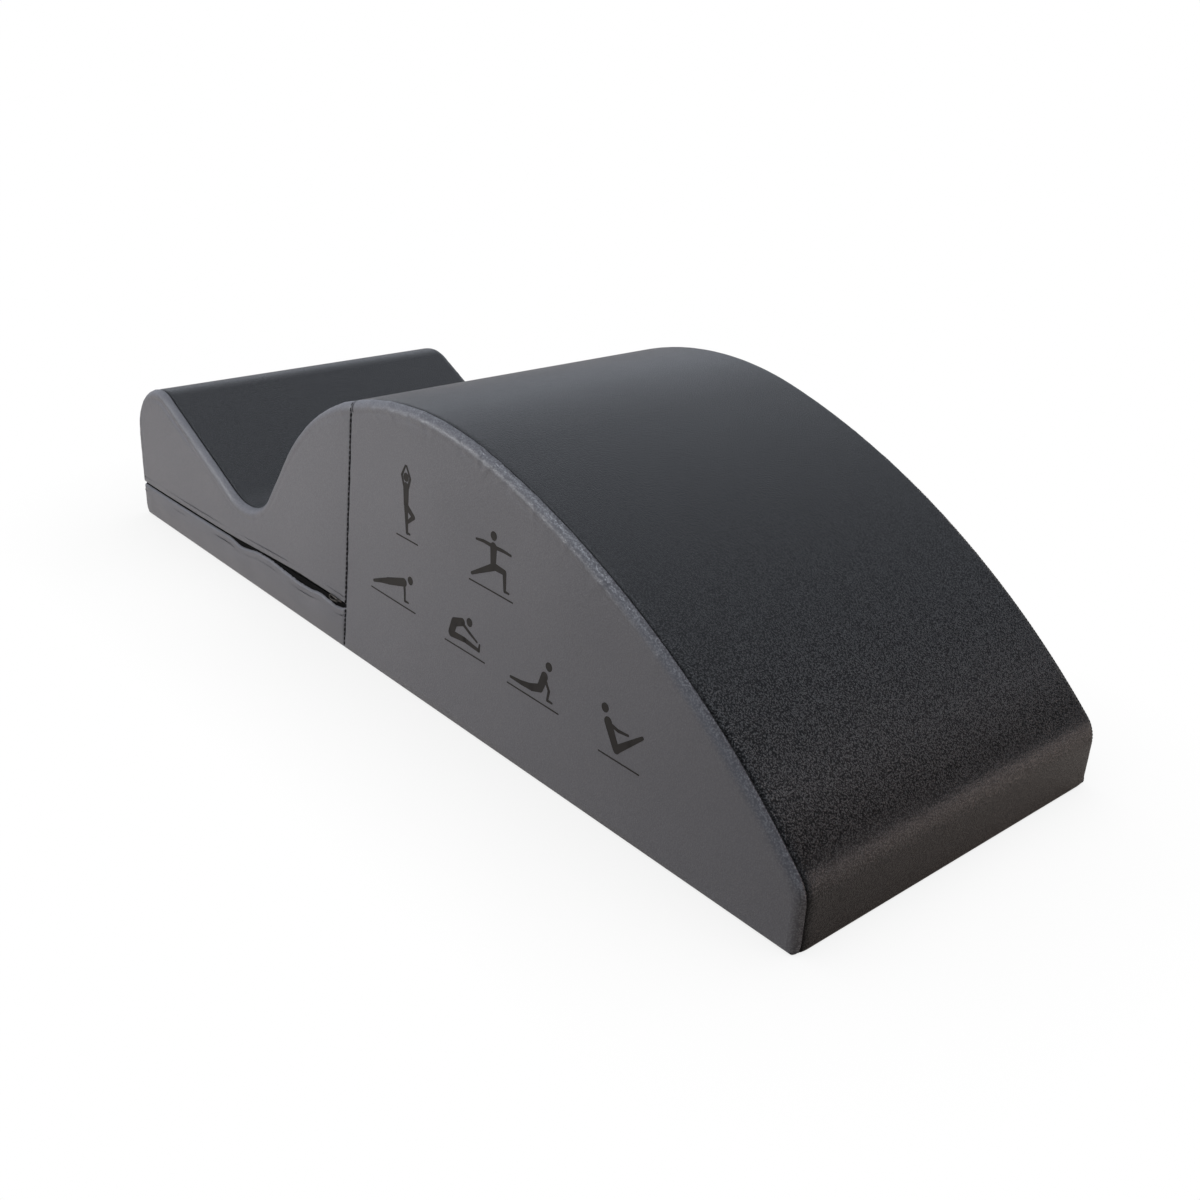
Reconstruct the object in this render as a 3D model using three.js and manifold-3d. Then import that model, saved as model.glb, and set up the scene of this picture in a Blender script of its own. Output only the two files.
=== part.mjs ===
// A Pilates spine corrector: a firm foam body in a sewn cover. It has a neck hump and a neck
// valley at the rear end, then a crest and one long arc that runs down to the foot end.
// A zip in a slit along the rear end's lower edge closes the cover.
// Millimetres, +Z up. X runs from the rear end to the foot end, the near side is at -Y, and the
// origin is on the ground under the middle of the body.
import * as THREE from "three";
import Module from "manifold-3d";
import { mergeVertices } from "three/addons/utils/BufferGeometryUtils.js";

// Body
const bodyLength = 950;
const bodyWidth = 350;
const crestHeight = 250;
const crestFromRear = 530;
const edgeRadius = 8;
const baseCornerRadius = 12;
const baseEdgeShare = 0.3;

// Side outline: the hump and the neck valley
const humpHeight = 148.5;
const humpRearRadius = 58;
const humpFrontRadius = 31.4;
const valleyFromRear = 228.7;
const valleyHeight = 78;
const valleyRadius = 62;

// Side outline: the rise from the valley to the crest. Its steepest stretch is straight. The
// turns are shares of the turn that it would have with no straight stretch, and of that one.
const riseLength = 58;
const riseTurnShare = 0.911;
const shoulderTurnShare = 0.36;

// Side outline: the crest's front, the long arc and the foot end, which stands upright below
// the foot's height
const crestFrontRadius = 332;
const crestFrontTurn = THREE.MathUtils.degToRad(13.2);
const footRadius = 52;
const footHeight = 24;

// Cover and seams
const coverThickness = 1.6;
const clearance = 0.3;
const seamGap = 1.2;
const seamTopX = -42;
const seamBaseX = -66;
const threadSize = 0.6;
const threadDepth = 0.9;
const topstitchSize = 0.5;
const topstitchDepth = 0.1;
const topstitchFromEdge = 5;
const stitchGrooveWidth = 1.2;
const stitchGrooveDepth = 0.9;

// Foam
const topperThickness = 12;

// Zip
const slitRearHeight = 35.6;
const slitSeamHeight = 44.8;
const slitRearOpening = 3.2;
const slitSeamOpening = 7;
const zipToSeam = 2.5;
const tapeWidth = 14;
const tapeThickness = 0.7;
const tapeHalfGap = 0.7;
const coilWidth = 1.9;
const coilThickness = 1.4;
const stopLength = 4;

// Zip slider and its pull
const sliderLength = 9;
const sliderPlate = 1;
const sliderFlange = 1.1;
const crownWidth = 2.4;
const crownThickness = 1;
const neckLength = 4.4;
const neckThickness = 0.8;
const lugHeight = 2.8;
const lugHole = 1.9;
const pullPinWidth = 0.9;
const pullThickness = 1;
const pullLength = 13;
const pullEndWidth = 5.6;
const pullArmWidth = 1;

// Cuts reach this far past what they cut
const overrun = 20;

// Steps along each round stretch
const humpSteps = 6;
const valleySteps = 10;
const shoulderSteps = 4;
const crestSteps = 3;
const arcSteps = 9;
const footSteps = 5;
const cornerSteps = 3;
const edgeSteps = 4;

const halfLength = bodyLength / 2;
const halfWidth = bodyWidth / 2;
const seamY = halfWidth - edgeRadius;
const foamDepth = coverThickness + clearance;

const wasm = await Module();
wasm.setup();

// Turns a closed geometry into a solid that can be joined and cut.
function solidOf(geometry) {
  const bare = geometry.clone();
  bare.deleteAttribute("normal");
  bare.deleteAttribute("uv");
  const merged = mergeVertices(bare);
  const mesh = new wasm.Mesh({
    numProp: 3,
    vertProperties: new Float32Array(merged.attributes.position.array),
    triVerts: new Uint32Array(merged.index.array),
  });
  return new wasm.Manifold(mesh);
}

// Turns a solid back into a geometry.
function geometryOf(solid) {
  const { numProp, numVert, vertProperties, triVerts } = solid.getMesh();
  const places = new Float32Array(numVert * 3);
  for (let i = 0; i < numVert; i += 1) {
    places.set(vertProperties.subarray(i * numProp, i * numProp + 3), i * 3);
  }
  const geometry = new THREE.BufferGeometry();
  geometry.setAttribute("position", new THREE.BufferAttribute(places, 3));
  geometry.setIndex(new THREE.BufferAttribute(new Uint32Array(triVerts), 1));
  const flat = geometry.toNonIndexed();
  flat.computeVertexNormals();
  return flat;
}

function boxBetween(low, high) {
  const size = high.map((value, i) => value - low[i]);
  const middle = high.map((value, i) => (value + low[i]) / 2);
  return solidOf(new THREE.BoxGeometry(...size).translate(...middle));
}

// A prism across the whole width, with its side outline given as x, z points.
function prismAcross(points) {
  const shape = new THREE.Shape(points.map(([x, z]) => new THREE.Vector2(x, z)));
  const depth = bodyWidth + 2 * overrun;
  const geometry = new THREE.ExtrudeGeometry(shape, { depth, bevelEnabled: false });
  return solidOf(geometry.rotateX(Math.PI / 2).translate(0, depth / 2, 0));
}

// Points on an arc of the side outline, each with the way out of the body there. A turn is
// measured from straight up towards the foot end. On a hollow arc the centre is outside.
function arcPoints(centreX, centreZ, radius, fromTurn, toTurn, steps, hollow = false) {
  const reach = hollow ? -radius : radius;
  return Array.from({ length: steps + 1 }, (_, i) => {
    const turn = THREE.MathUtils.lerp(fromTurn, toTurn, i / steps);
    const outX = Math.sin(turn);
    const outZ = Math.cos(turn);
    return { x: centreX + reach * outX, z: centreZ + reach * outZ, outX, outZ };
  });
}

// The side outline of the hump and the valley's near slope.
function humpOutline(valleyX, valleyZ) {
  const humpX = humpRearRadius - halfLength;
  const humpZ = humpHeight - humpFrontRadius;
  const [along, rise] = [valleyX - humpX, valleyZ - humpZ];
  const radii = valleyRadius + humpFrontRadius;
  const slopeTurn = Math.asin(radii / Math.hypot(along, rise)) - Math.atan2(rise, along);
  const rearZ = humpHeight - humpRearRadius;
  const points = [
    arcPoints(humpX, rearZ, humpRearRadius, -Math.PI / 2, 0, humpSteps),
    arcPoints(humpX, humpZ, humpFrontRadius, 0, slopeTurn, crestSteps),
  ].flat();
  return { slopeTurn, points };
}

// The side outline from the valley up to the crest. The radii of the shoulder and the crest are
// those with which the rise ends level at the crest.
function riseOutline(valleyX, valleyZ, slopeTurn, crestX) {
  const run = crestX - valleyX;
  const rise = crestHeight - valleyHeight;
  const riseTurn = riseTurnShare * 2 * Math.atan2(rise, run);
  const topTurn = shoulderTurnShare * riseTurn;
  const [riseSin, riseCos] = [Math.sin(riseTurn), Math.cos(riseTurn)];
  const [topSin, topCos] = [Math.sin(topTurn), Math.cos(topTurn)];
  const up = rise - valleyRadius * (1 - riseCos) - riseLength * riseSin;
  const on = run - valleyRadius * riseSin - riseLength * riseCos;
  const whole = (topCos - riseCos) * topSin - (1 - topCos) * (riseSin - topSin);
  const shoulderRadius = (up * topSin - on * (1 - topCos)) / whole;
  const crestRadius = (on * (topCos - riseCos) - up * (riseSin - topSin)) / whole;
  const crestZ = crestHeight - crestRadius;
  const shoulderX = crestX - (crestRadius - shoulderRadius) * topSin;
  const shoulderZ = crestZ + (crestRadius - shoulderRadius) * topCos;
  return [
    arcPoints(valleyX, valleyZ, valleyRadius, slopeTurn, -riseTurn, valleySteps, true),
    arcPoints(shoulderX, shoulderZ, shoulderRadius, -riseTurn, -topTurn, shoulderSteps),
    arcPoints(crestX, crestZ, crestRadius, -topTurn, 0, crestSteps),
  ].flat();
}

// The side outline from the crest down to the foot end. The long arc's radius is the one with
// which it runs on smoothly from the crest and into the foot.
function longOutline(crestX) {
  const [frontSin, frontCos] = [Math.sin(crestFrontTurn), Math.cos(crestFrontTurn)];
  const footX = halfLength - footRadius;
  const startX = crestX + crestFrontRadius * frontSin;
  const startZ = crestHeight - crestFrontRadius * (1 - frontCos);
  const [along, down] = [footX - startX, startZ - footHeight];
  const drop = down * frontCos - along * frontSin - footRadius;
  const arcRadius = (along ** 2 + down ** 2 - footRadius ** 2) / (2 * drop);
  const arcX = startX - arcRadius * frontSin;
  const arcZ = startZ - arcRadius * frontCos;
  const footTurn = Math.atan2(footX - arcX, footHeight - arcZ);
  return [
    arcPoints(crestX, crestHeight - crestFrontRadius, crestFrontRadius, 0, crestFrontTurn, crestSteps),
    arcPoints(arcX, arcZ, arcRadius, crestFrontTurn, footTurn, arcSteps),
    arcPoints(footX, footHeight, footRadius, footTurn, Math.PI / 2, footSteps),
  ].flat();
}

// The side outline from the rear end over the top to the foot end, where it stands upright.
function topOutline() {
  const valleyX = valleyFromRear - halfLength;
  const valleyZ = valleyHeight + valleyRadius;
  const crestX = crestFromRear - halfLength;
  const hump = humpOutline(valleyX, valleyZ);
  return [
    ...hump.points,
    ...riseOutline(valleyX, valleyZ, hump.slopeTurn, crestX),
    ...longOutline(crestX),
  ];
}

// The whole side outline, with the two rounded corners of the base, and no point twice.
function wholeOutline() {
  const cornerX = halfLength - baseCornerRadius;
  const points = [
    topOutline(),
    arcPoints(cornerX, baseCornerRadius, baseCornerRadius, Math.PI / 2, Math.PI, cornerSteps),
    arcPoints(-cornerX, baseCornerRadius, baseCornerRadius, Math.PI, 1.5 * Math.PI, cornerSteps),
  ].flat();
  const same = clearance / 10;
  return points.filter((point, i) => {
    const next = points[(i + 1) % points.length];
    return Math.hypot(next.x - point.x, next.z - point.z) > same;
  });
}

const outline = wholeOutline();

// The body's outer form at a depth under the cover's face, with its two side edges rounded.
// Rings of the outline are joined from the near side to the far side. The edge is rounded less
// where it faces the ground, so that the body stands on nearly its whole width.
function bodyAt(depth) {
  const round = Math.max(edgeRadius - depth, 0);
  const flatY = halfWidth - depth - round;
  const nearRings = Array.from({ length: edgeSteps + 1 }, (_, i) => {
    const turn = (i / edgeSteps) * (Math.PI / 2);
    return { y: -flatY - round * Math.cos(turn), fall: round * (1 - Math.sin(turn)) };
  });
  const farRings = nearRings.map(({ y, fall }) => ({ y: -y, fall })).reverse();
  const rings = [...nearRings, ...farRings];

  const places = rings.flatMap(({ y, fall }) =>
    outline.flatMap(({ x, z, outX, outZ }) => {
      const fallZ = outZ < 0 ? fall * baseEdgeShare : fall;
      return [x - (depth + fall) * outX, y, z - (depth + fallZ) * outZ];
    }),
  );
  const count = outline.length;
  const triangles = [];
  for (let ring = 0; ring < rings.length - 1; ring += 1) {
    for (let i = 0; i < count; i += 1) {
      const next = (i + 1) % count;
      const [a, b] = [ring * count + i, ring * count + next];
      triangles.push(a, b, b + count, a, b + count, a + count);
    }
  }
  const side = outline.map((_, i) => new THREE.Vector2(places[3 * i], places[3 * i + 2]));
  const last = (rings.length - 1) * count;
  for (const [a, b, c] of THREE.ShapeUtils.triangulateShape(side, [])) {
    triangles.push(a, b, c, last + a, last + c, last + b);
  }
  const geometry = new THREE.BufferGeometry();
  geometry.setAttribute("position", new THREE.Float32BufferAttribute(places, 3));
  geometry.setIndex(triangles);
  return solidOf(geometry);
}

// The body between two depths.
function layer(fromDepth, toDepth) {
  return bodyAt(fromDepth).subtract(bodyAt(toDepth));
}

const skyZ = crestHeight + overrun;
const rearX = -halfLength - overrun;
const frontX = halfLength + overrun;

// The upright seam's line on the side of the cover.
function seamX(z) {
  return seamBaseX + ((seamTopX - seamBaseX) * z) / crestHeight;
}

const slitEndX = seamX(slitSeamHeight);
const slitSlope = (slitSeamHeight - slitRearHeight) / (slitEndX + halfLength);
const zipEndX = slitEndX - zipToSeam;

function slitMiddle(x) {
  return slitRearHeight + slitSlope * (x + halfLength);
}

function slitHalfOpening(x) {
  const share = (x + halfLength) / (slitEndX + halfLength);
  return THREE.MathUtils.lerp(slitRearOpening, slitSeamOpening, share) / 2;
}

// A belt along the slit, from below the rear end to endX. Each edge is given as a distance
// from the slit's middle, and as how many half openings of the slit are added to it.
function belt([low, lowSpread], [high, highSpread], endX) {
  const edge = (x, from, spread) => [x, slitMiddle(x) + from + spread * slitHalfOpening(x)];
  return prismAcross([
    edge(rearX, low, lowSpread),
    edge(endX, low, lowSpread),
    edge(endX, high, highSpread),
    edge(rearX, high, highSpread),
  ]);
}

// The region behind or before the upright seam, and the strip along it.
function seamStrip(from, to) {
  const [low, high] = [-overrun, skyZ];
  return prismAcross([
    [seamX(low) + from, low],
    [seamX(low) + to, low],
    [seamX(high) + to, high],
    [seamX(high) + from, high],
  ]);
}

const behindSeam = seamStrip(-bodyLength, -seamGap / 2);
const beforeSeam = seamStrip(seamGap / 2, bodyLength);
const aboveSlit = belt([0, 1], [skyZ, 0], halfLength);
const belowSlit = belt([-skyZ, 0], [0, -1], halfLength);

// The middle of the body, between the long seams.
function middleBand(gap) {
  const reach = seamY - gap;
  return boxBetween([rearX, -reach, -overrun], [frontX, reach, skyZ]);
}

// One side of the body, outside its long seam.
function sideSlab(side, gap) {
  const edges = [side * (seamY + gap), side * (halfWidth + overrun)].sort((a, b) => a - b);
  return boxBetween([rearX, edges[0], -overrun], [frontX, edges[1], skyZ]);
}

// The half of the body on one side, up to the middle.
function sideHalf(side) {
  return sideSlab(side, -seamY);
}

const paints = {
  greyLeather: { color: 0x5b5c61, roughness: 0.5, metalness: 0 },
  blackLeather: { color: 0x1c1c1e, roughness: 0.45, metalness: 0 },
  baseCloth: { color: 0x17181a, roughness: 0.9, metalness: 0 },
  coreFoam: { color: 0x2e3034, roughness: 0.95, metalness: 0 },
  topperFoam: { color: 0x8b8d90, roughness: 0.95, metalness: 0 },
  thread: { color: 0x26272a, roughness: 0.8, metalness: 0 },
  zipTape: { color: 0x0f0f10, roughness: 0.85, metalness: 0 },
  zipCoil: { color: 0x1a1a1b, roughness: 0.4, metalness: 0 },
  zipMetal: { color: 0xa9a49a, roughness: 0.35, metalness: 1 },
};

const model = new THREE.Group();

function addMesh(name, geometry, paint, parent = model) {
  const mesh = new THREE.Mesh(geometry, new THREE.MeshStandardMaterial(paints[paint]));
  mesh.name = name;
  parent.add(mesh);
  return mesh;
}

function addSolid(name, solid, paint) {
  return addMesh(name, geometryOf(solid), paint);
}

const sides = [
  ["near", -1],
  ["far", 1],
];

// Foam: a firm core in two blocks that meet under the upright seam, each with a softer topper
// bonded along its upper face. Channels in the neck block make room for the zip.
function addFoam() {
  const tapeRoom = foamDepth + tapeThickness + clearance;
  const coilRoom = tapeRoom + coilThickness + sliderPlate + 3 * clearance;
  const tapeReach = tapeWidth + clearance;
  const coilReach = tapeHalfGap + coilWidth + sliderFlange + 2 * clearance;
  const channelEndX = zipEndX + clearance;
  const tapeChannel = belt([-tapeReach, 0], [tapeReach, 0], channelEndX).subtract(bodyAt(tapeRoom));
  const coilChannel = belt([-coilReach, 0], [coilReach, 0], channelEndX).subtract(bodyAt(coilRoom));
  const foam = bodyAt(foamDepth).subtract(tapeChannel).subtract(coilChannel);

  const jointX = seamX(crestHeight / 2);
  const topPoints = topOutline();
  const rearZ = topPoints[0].z;
  const footZ = topPoints[topPoints.length - 1].z;
  const underTopper = (depth) =>
    prismAcross([
      [rearX, rearZ - depth + foamDepth],
      ...topPoints.map(({ x, z, outX, outZ }) => [x - depth * outX, z - depth * outZ]),
      [frontX, footZ],
      [frontX, -overrun],
      [rearX, -overrun],
    ]);
  const rearHalf = boxBetween(
    [rearX, -halfWidth, -overrun],
    [jointX - clearance / 2, halfWidth, skyZ],
  );
  const frontHalf = boxBetween([jointX + clearance / 2, -halfWidth, -overrun], [frontX, halfWidth, skyZ]);
  const topper = foam.subtract(underTopper(foamDepth + topperThickness));
  const core = foam.intersect(underTopper(foamDepth + topperThickness + clearance));
  addSolid("neck_foam_core", core.intersect(rearHalf), "coreFoam");
  addSolid("arc_foam_core", core.intersect(frontHalf), "coreFoam");
  addSolid("neck_foam_topper", topper.intersect(rearHalf), "topperFoam");
  addSolid("arc_foam_topper", topper.intersect(frontHalf), "topperFoam");
}

// Cover: nine sewn panels. The top panel runs from the zip at the rear end over the whole top
// and down the foot end. Each side has an arc panel, a neck panel and a strip under the slit.
const baseSeamX = halfLength - baseCornerRadius;
const baseTop = baseCornerRadius / 2;

function addCover() {
  const grooves = [-1, 1].map((way) => {
    const far = way * (topstitchFromEdge + stitchGrooveWidth / 2);
    const close = way * (topstitchFromEdge - stitchGrooveWidth / 2);
    const [low, high] = [far, close].sort((a, b) => a - b);
    return belt([low, way], [high, way], slitEndX).subtract(bodyAt(stitchGrooveDepth));
  });
  const cover = layer(0, coverThickness);
  const rearCover = cover.subtract(grooves[0]).subtract(grooves[1]);
  const band = rearCover.intersect(middleBand(seamGap / 2));

  const baseReach = baseSeamX - seamGap / 2;
  const baseBox = (reach) =>
    boxBetween([-reach, -halfWidth, -overrun], [reach, halfWidth, baseTop]);
  const aboveBase = band.subtract(baseBox(baseSeamX + seamGap / 2));
  const rearEnd = boxBetween([rearX, -halfWidth, -overrun], [-baseSeamX, halfWidth, humpHeight / 2]);
  addSolid("top_panel", aboveBase.subtract(rearEnd.subtract(aboveSlit)), "blackLeather");
  addSolid("rear_lower_strip", aboveBase.intersect(rearEnd).intersect(belowSlit), "blackLeather");
  addSolid("base_panel", band.intersect(baseBox(baseReach)), "baseCloth");

  for (const [name, side] of sides) {
    const slab = sideSlab(side, seamGap / 2);
    const neck = rearCover.intersect(slab).intersect(behindSeam);
    addSolid(`${name}_arc_side`, cover.intersect(slab).intersect(beforeSeam), "greyLeather");
    addSolid(`${name}_neck_side`, neck.intersect(aboveSlit), "greyLeather");
    addSolid(`${name}_lower_strip`, neck.intersect(belowSlit), "greyLeather");
  }
}

// Threads: one along each long seam over the top and one under the base, one in each upright
// seam, one across each end of the base, and a topstitch above and below the slit.
function addThreads() {
  const depthEnd = threadDepth + threadSize;
  const threads = layer(threadDepth, depthEnd);
  const half = threadSize / 2;
  const baseBox = boxBetween(
    [-baseSeamX, -bodyWidth, -overrun],
    [baseSeamX - clearance, bodyWidth, baseTop],
  );
  const rearLow = belt([-skyZ, 0], [0, -1], clearance - baseSeamX);
  const rearSlit = belt([0, -1], [0, 1], clearance - baseSeamX);

  for (const [name, side] of sides) {
    const strip = sideSlab(side, -half).subtract(sideSlab(side, half));
    const loop = threads.intersect(strip).subtract(rearSlit);
    const low = baseBox.add(rearLow);
    const upright = seamStrip(-half, half).intersect(sideSlab(side, seamGap / 2));
    addSolid(`${name}_top_seam_thread`, loop.subtract(grown(low)), "thread");
    addSolid(`${name}_base_seam_thread`, loop.intersect(low), "thread");
    addSolid(`${name}_upright_seam_thread`, threads.intersect(upright), "thread");
  }
  for (const [name, end] of [["rear", -1], ["foot", 1]]) {
    const cross = boxBetween(
      [end * baseSeamX - half, half + clearance - seamY, -overrun],
      [end * baseSeamX + half, seamY - half - clearance, baseTop],
    );
    addSolid(`${name}_base_seam_thread`, threads.intersect(cross), "thread");
  }
  const topstitch = layer(topstitchDepth, topstitchDepth + topstitchSize);
  for (const [name, way] of [["upper", 1], ["lower", -1]]) {
    const middle = way * topstitchFromEdge;
    const line = belt(
      [middle - topstitchSize / 2, way],
      [middle + topstitchSize / 2, way],
      slitEndX - clearance - seamGap,
    );
    addSolid(`zip_${name}_topstitch`, topstitch.intersect(line), "thread");
  }
}

// The base thread's region, widened by a clearance where the top thread ends at the foot.
function grown(region) {
  const footEnd = boxBetween(
    [baseSeamX - clearance, -bodyWidth, -overrun],
    [baseSeamX, bodyWidth, baseTop],
  );
  return region.add(footEnd);
}

// Zip: two tapes sewn behind the slit's hems, a coil behind each tape's edge, and an end stop
// on each side. All run round the rear end from one upright seam to the other.
const coilDepth = foamDepth + tapeThickness + clearance;
const coilReach = tapeHalfGap + coilWidth;
const coilEndX = zipEndX - stopLength - clearance;

function addZip() {
  const tapes = layer(foamDepth, foamDepth + tapeThickness);
  const coils = layer(coilDepth, coilDepth + coilThickness);
  for (const [name, way] of [["upper", 1], ["lower", -1]]) {
    const run = (from, to, endX) => {
      const [low, high] = [way * from, way * to].sort((a, b) => a - b);
      return belt([low, 0], [high, 0], endX);
    };
    addSolid(`zip_${name}_tape`, tapes.intersect(run(tapeHalfGap, tapeWidth, zipEndX)), "zipTape");
    addSolid(`zip_${name}_coil`, coils.intersect(run(tapeHalfGap, coilReach, coilEndX)), "zipCoil");
  }
  const stops = coils
    .intersect(belt([-coilReach, 0], [coilReach, 0], zipEndX))
    .intersect(boxBetween([zipEndX - stopLength, -halfWidth, 0], [zipEndX, halfWidth, crestHeight]));
  for (const [name, side] of sides) {
    addSolid(`${name}_zip_stop`, stops.intersect(sideHalf(side)), "zipMetal");
  }
}

// Slider: its body runs on the coils behind the tapes. A thin neck comes out between them to a
// narrow crown in the slit and a lug that carries the pull. Drawn at its own origin on the near
// side's face, with x along the slit, y into the body and z across the slit.
function sliderSolid() {
  const halfSlider = sliderLength / 2;
  const flangeIn = coilReach + clearance;
  const plateReach = flangeIn + sliderFlange;
  const plateDepth = coilDepth + coilThickness + clearance;
  const plate = boxBetween(
    [-halfSlider, plateDepth, -plateReach],
    [halfSlider, plateDepth + sliderPlate, plateReach],
  );
  const flanges = boxBetween(
    [-halfSlider, coilDepth, -plateReach],
    [halfSlider, plateDepth + sliderPlate / 2, plateReach],
  ).subtract(
    boxBetween(
      [-halfSlider - overrun, coilDepth - overrun, -flangeIn],
      [halfSlider + overrun, plateDepth + sliderPlate, flangeIn],
    ),
  );
  const neck = boxBetween(
    [-neckLength / 2, -lugHeight, -neckThickness / 2],
    [neckLength / 2, plateDepth + sliderPlate / 2, neckThickness / 2],
  );
  const crown = boxBetween(
    [-halfSlider, coverThickness - crownThickness, -crownWidth / 2],
    [halfSlider, coverThickness, crownWidth / 2],
  );
  const holeHalf = lugHole / 2;
  const hole = boxBetween(
    [-holeHalf, -pullOut - holeHalf, -overrun],
    [holeHalf, holeHalf - pullOut, overrun],
  );
  return plate.add(flanges).add(crown).add(neck.subtract(hole));
}

const pullOut = clearance + lugHole / 2 - (lugHole - pullThickness) / 2;

// Pull: a flat open teardrop that lies along the slit towards the rear end. The bar at its
// narrow end is the pin that turns in the lug.
function pullGeometry() {
  const windowHalf = neckThickness / 2 + clearance;
  const pinHalf = pullPinWidth / 2;
  const endHalf = pullEndWidth / 2;
  const endX = endHalf - pullLength;
  const shape = new THREE.Shape();
  shape.moveTo(pinHalf, -windowHalf - pullArmWidth);
  shape.lineTo(pinHalf, windowHalf + pullArmWidth);
  shape.absarc(endX, 0, endHalf, Math.PI / 2, 1.5 * Math.PI, false);
  const window = new THREE.Path();
  window.absarc(endX, 0, endHalf - pullArmWidth, 1.5 * Math.PI, Math.PI / 2, true);
  window.lineTo(-pinHalf, windowHalf);
  window.lineTo(-pinHalf, -windowHalf);
  shape.holes.push(window);
  const settings = { depth: pullThickness, bevelEnabled: false, curveSegments: 6 };
  const geometry = new THREE.ExtrudeGeometry(shape, settings).rotateX(Math.PI / 2);
  return geometry.translate(0, pullThickness / 2 - pullOut, 0);
}

function addSlider() {
  const restX = coilEndX - sliderLength / 2 - 2 * clearance;
  const group = new THREE.Group();
  group.position.set(restX, -halfWidth, slitMiddle(restX));
  group.rotation.y = -Math.atan(slitSlope);
  addMesh("zip_slider", geometryOf(sliderSolid()), "zipMetal", group);
  addMesh("zip_pull", pullGeometry(), "zipMetal", group);
  model.add(group);
}

addFoam();
addCover();
addThreads();
addZip();
addSlider();

export default model;
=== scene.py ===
"""Visual model of a Pilates spine corrector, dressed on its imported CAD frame.

The firm foam body wears a sewn cover of coated leather cloth: a black top panel from the rear
end over the hump, the neck valley and the long arc down to the foot, and grey side panels that
roll over the edges. A zip sits in a slit along the rear end's lower edge. Lengths are in
millimetres until a mesh is made; Blender itself works in metres.
"""

import logging
import math
from collections.abc import Callable, Sequence
from dataclasses import dataclass
from enum import Enum, auto

import bpy
import numpy as np
from mathutils import Matrix, Vector


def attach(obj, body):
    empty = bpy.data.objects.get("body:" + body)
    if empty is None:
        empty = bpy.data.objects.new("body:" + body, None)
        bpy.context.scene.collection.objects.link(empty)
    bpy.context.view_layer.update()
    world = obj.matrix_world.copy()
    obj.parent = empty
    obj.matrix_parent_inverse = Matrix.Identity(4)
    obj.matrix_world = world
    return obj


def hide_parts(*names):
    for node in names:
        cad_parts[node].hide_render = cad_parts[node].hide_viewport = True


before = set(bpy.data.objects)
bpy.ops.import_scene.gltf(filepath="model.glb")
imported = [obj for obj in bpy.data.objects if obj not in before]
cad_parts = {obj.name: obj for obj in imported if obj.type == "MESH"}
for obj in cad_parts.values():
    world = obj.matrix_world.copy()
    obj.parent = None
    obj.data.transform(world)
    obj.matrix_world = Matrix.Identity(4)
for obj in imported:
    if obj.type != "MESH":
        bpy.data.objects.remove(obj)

Array = np.ndarray
Values = Array | float
Piece = bpy.types.Object
Tree = bpy.types.NodeTree
Socket = bpy.types.NodeSocket
Materials = dict[str, bpy.types.Material]
Shape = tuple[Array, list[list[int]]]
Line = tuple[Array, Array]

MM = 0.001
RIGHT = math.pi / 2
BODY = "padded_body"
SLIDER_BODY = "zip_slider_body"
PULL_BODY = "zip_pull_body"
LOG = logging.getLogger("spine_corrector")

# Points closer than this are one, in a shell and in a CAD node's mesh
SHELL_WELD_MM = 0.004
CAD_WELD_MM = 0.002
# Degrees between faces that count as one, and at edges that are broken
FLAT_ANGLE = 1.0
SHARP_ANGLE = 40.0
# Degrees of the sharpest edges that are shaded smooth
SMOOTH_SHELL = 50.0
SMOOTH_BLOCK = 35.0
SMOOTH_BAR = 60.0
# A bar's share that is straight, and how its end faces are drawn out and made smaller
BAR_SHARE = 0.7
BAR_END = (1.4, 0.45, 0.45)

# Values that a wrapped cloth carries at each point: the painted shade along its seams, which
# darkens colour and gloss, and its grain's depth
PAINTED_SEAM_SHADE = "painted_seam_shade"
GRAIN_DEPTH = "grain_depth"


class Named(Enum):
    """A choice whose name is part of the names of pieces."""

    @property
    def word(self) -> str:
        """The name as the pieces carry it."""
        return self.name.lower()


class Side(Named):
    """A side of the body, with the sign of its y."""

    NEAR = -1
    FAR = 1


class Hem(Named):
    """A hem of the slit, with the way it lies from the slit's middle."""

    UPPER = 1
    LOWER = -1


class Texture(Enum):
    """What a finish's surface shows."""

    CLOUDS = auto()
    PEBBLES = auto()
    WEAVE = auto()
    PLIES = auto()
    CELLS = auto()


# Colours, nodes and finishes


def srgb(code: str) -> tuple[float, float, float, float]:
    """Turns an sRGB hex colour to linear.

    Args:
        code: Six hex digits.

    Returns:
        Linear red, green, blue and an alpha of one.
    """
    parts = [int(code[i : i + 2], 16) / 255 for i in (0, 2, 4)]
    linear = [c / 12.92 if c <= 0.04045 else ((c + 0.055) / 1.055) ** 2.4 for c in parts]
    return (*linear, 1.0)


def bare_tree(owner: bpy.types.Material | bpy.types.World) -> Tree:
    """Turns on nodes and removes those that are there.

    Args:
        owner: The material or world.

    Returns:
        Its empty tree.
    """
    owner.use_nodes = True
    owner.node_tree.nodes.clear()
    return owner.node_tree


def add_node(
    tree: Tree, kind: str, settings: dict | None = None, links: dict | None = None
) -> bpy.types.Node:
    """Adds a node, sets it and links its inputs.

    Args:
        tree: The tree that gets the node.
        kind: The node's type name, after "ShaderNode".
        settings: Input names or numbers, or the node's own properties, with their values.
        links: Input names or numbers, with the sockets that feed them. A node stands for its
            first output.

    Returns:
        The new node.
    """
    node = tree.nodes.new(f"ShaderNode{kind}")
    for key, value in (settings or {}).items():
        if isinstance(key, int) or key in node.inputs:
            node.inputs[key].default_value = value
        else:
            setattr(node, key, value)
    for key, source in (links or {}).items():
        socket = source.outputs[0] if isinstance(source, bpy.types.Node) else source
        tree.links.new(socket, node.inputs[key])
    return node


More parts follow.
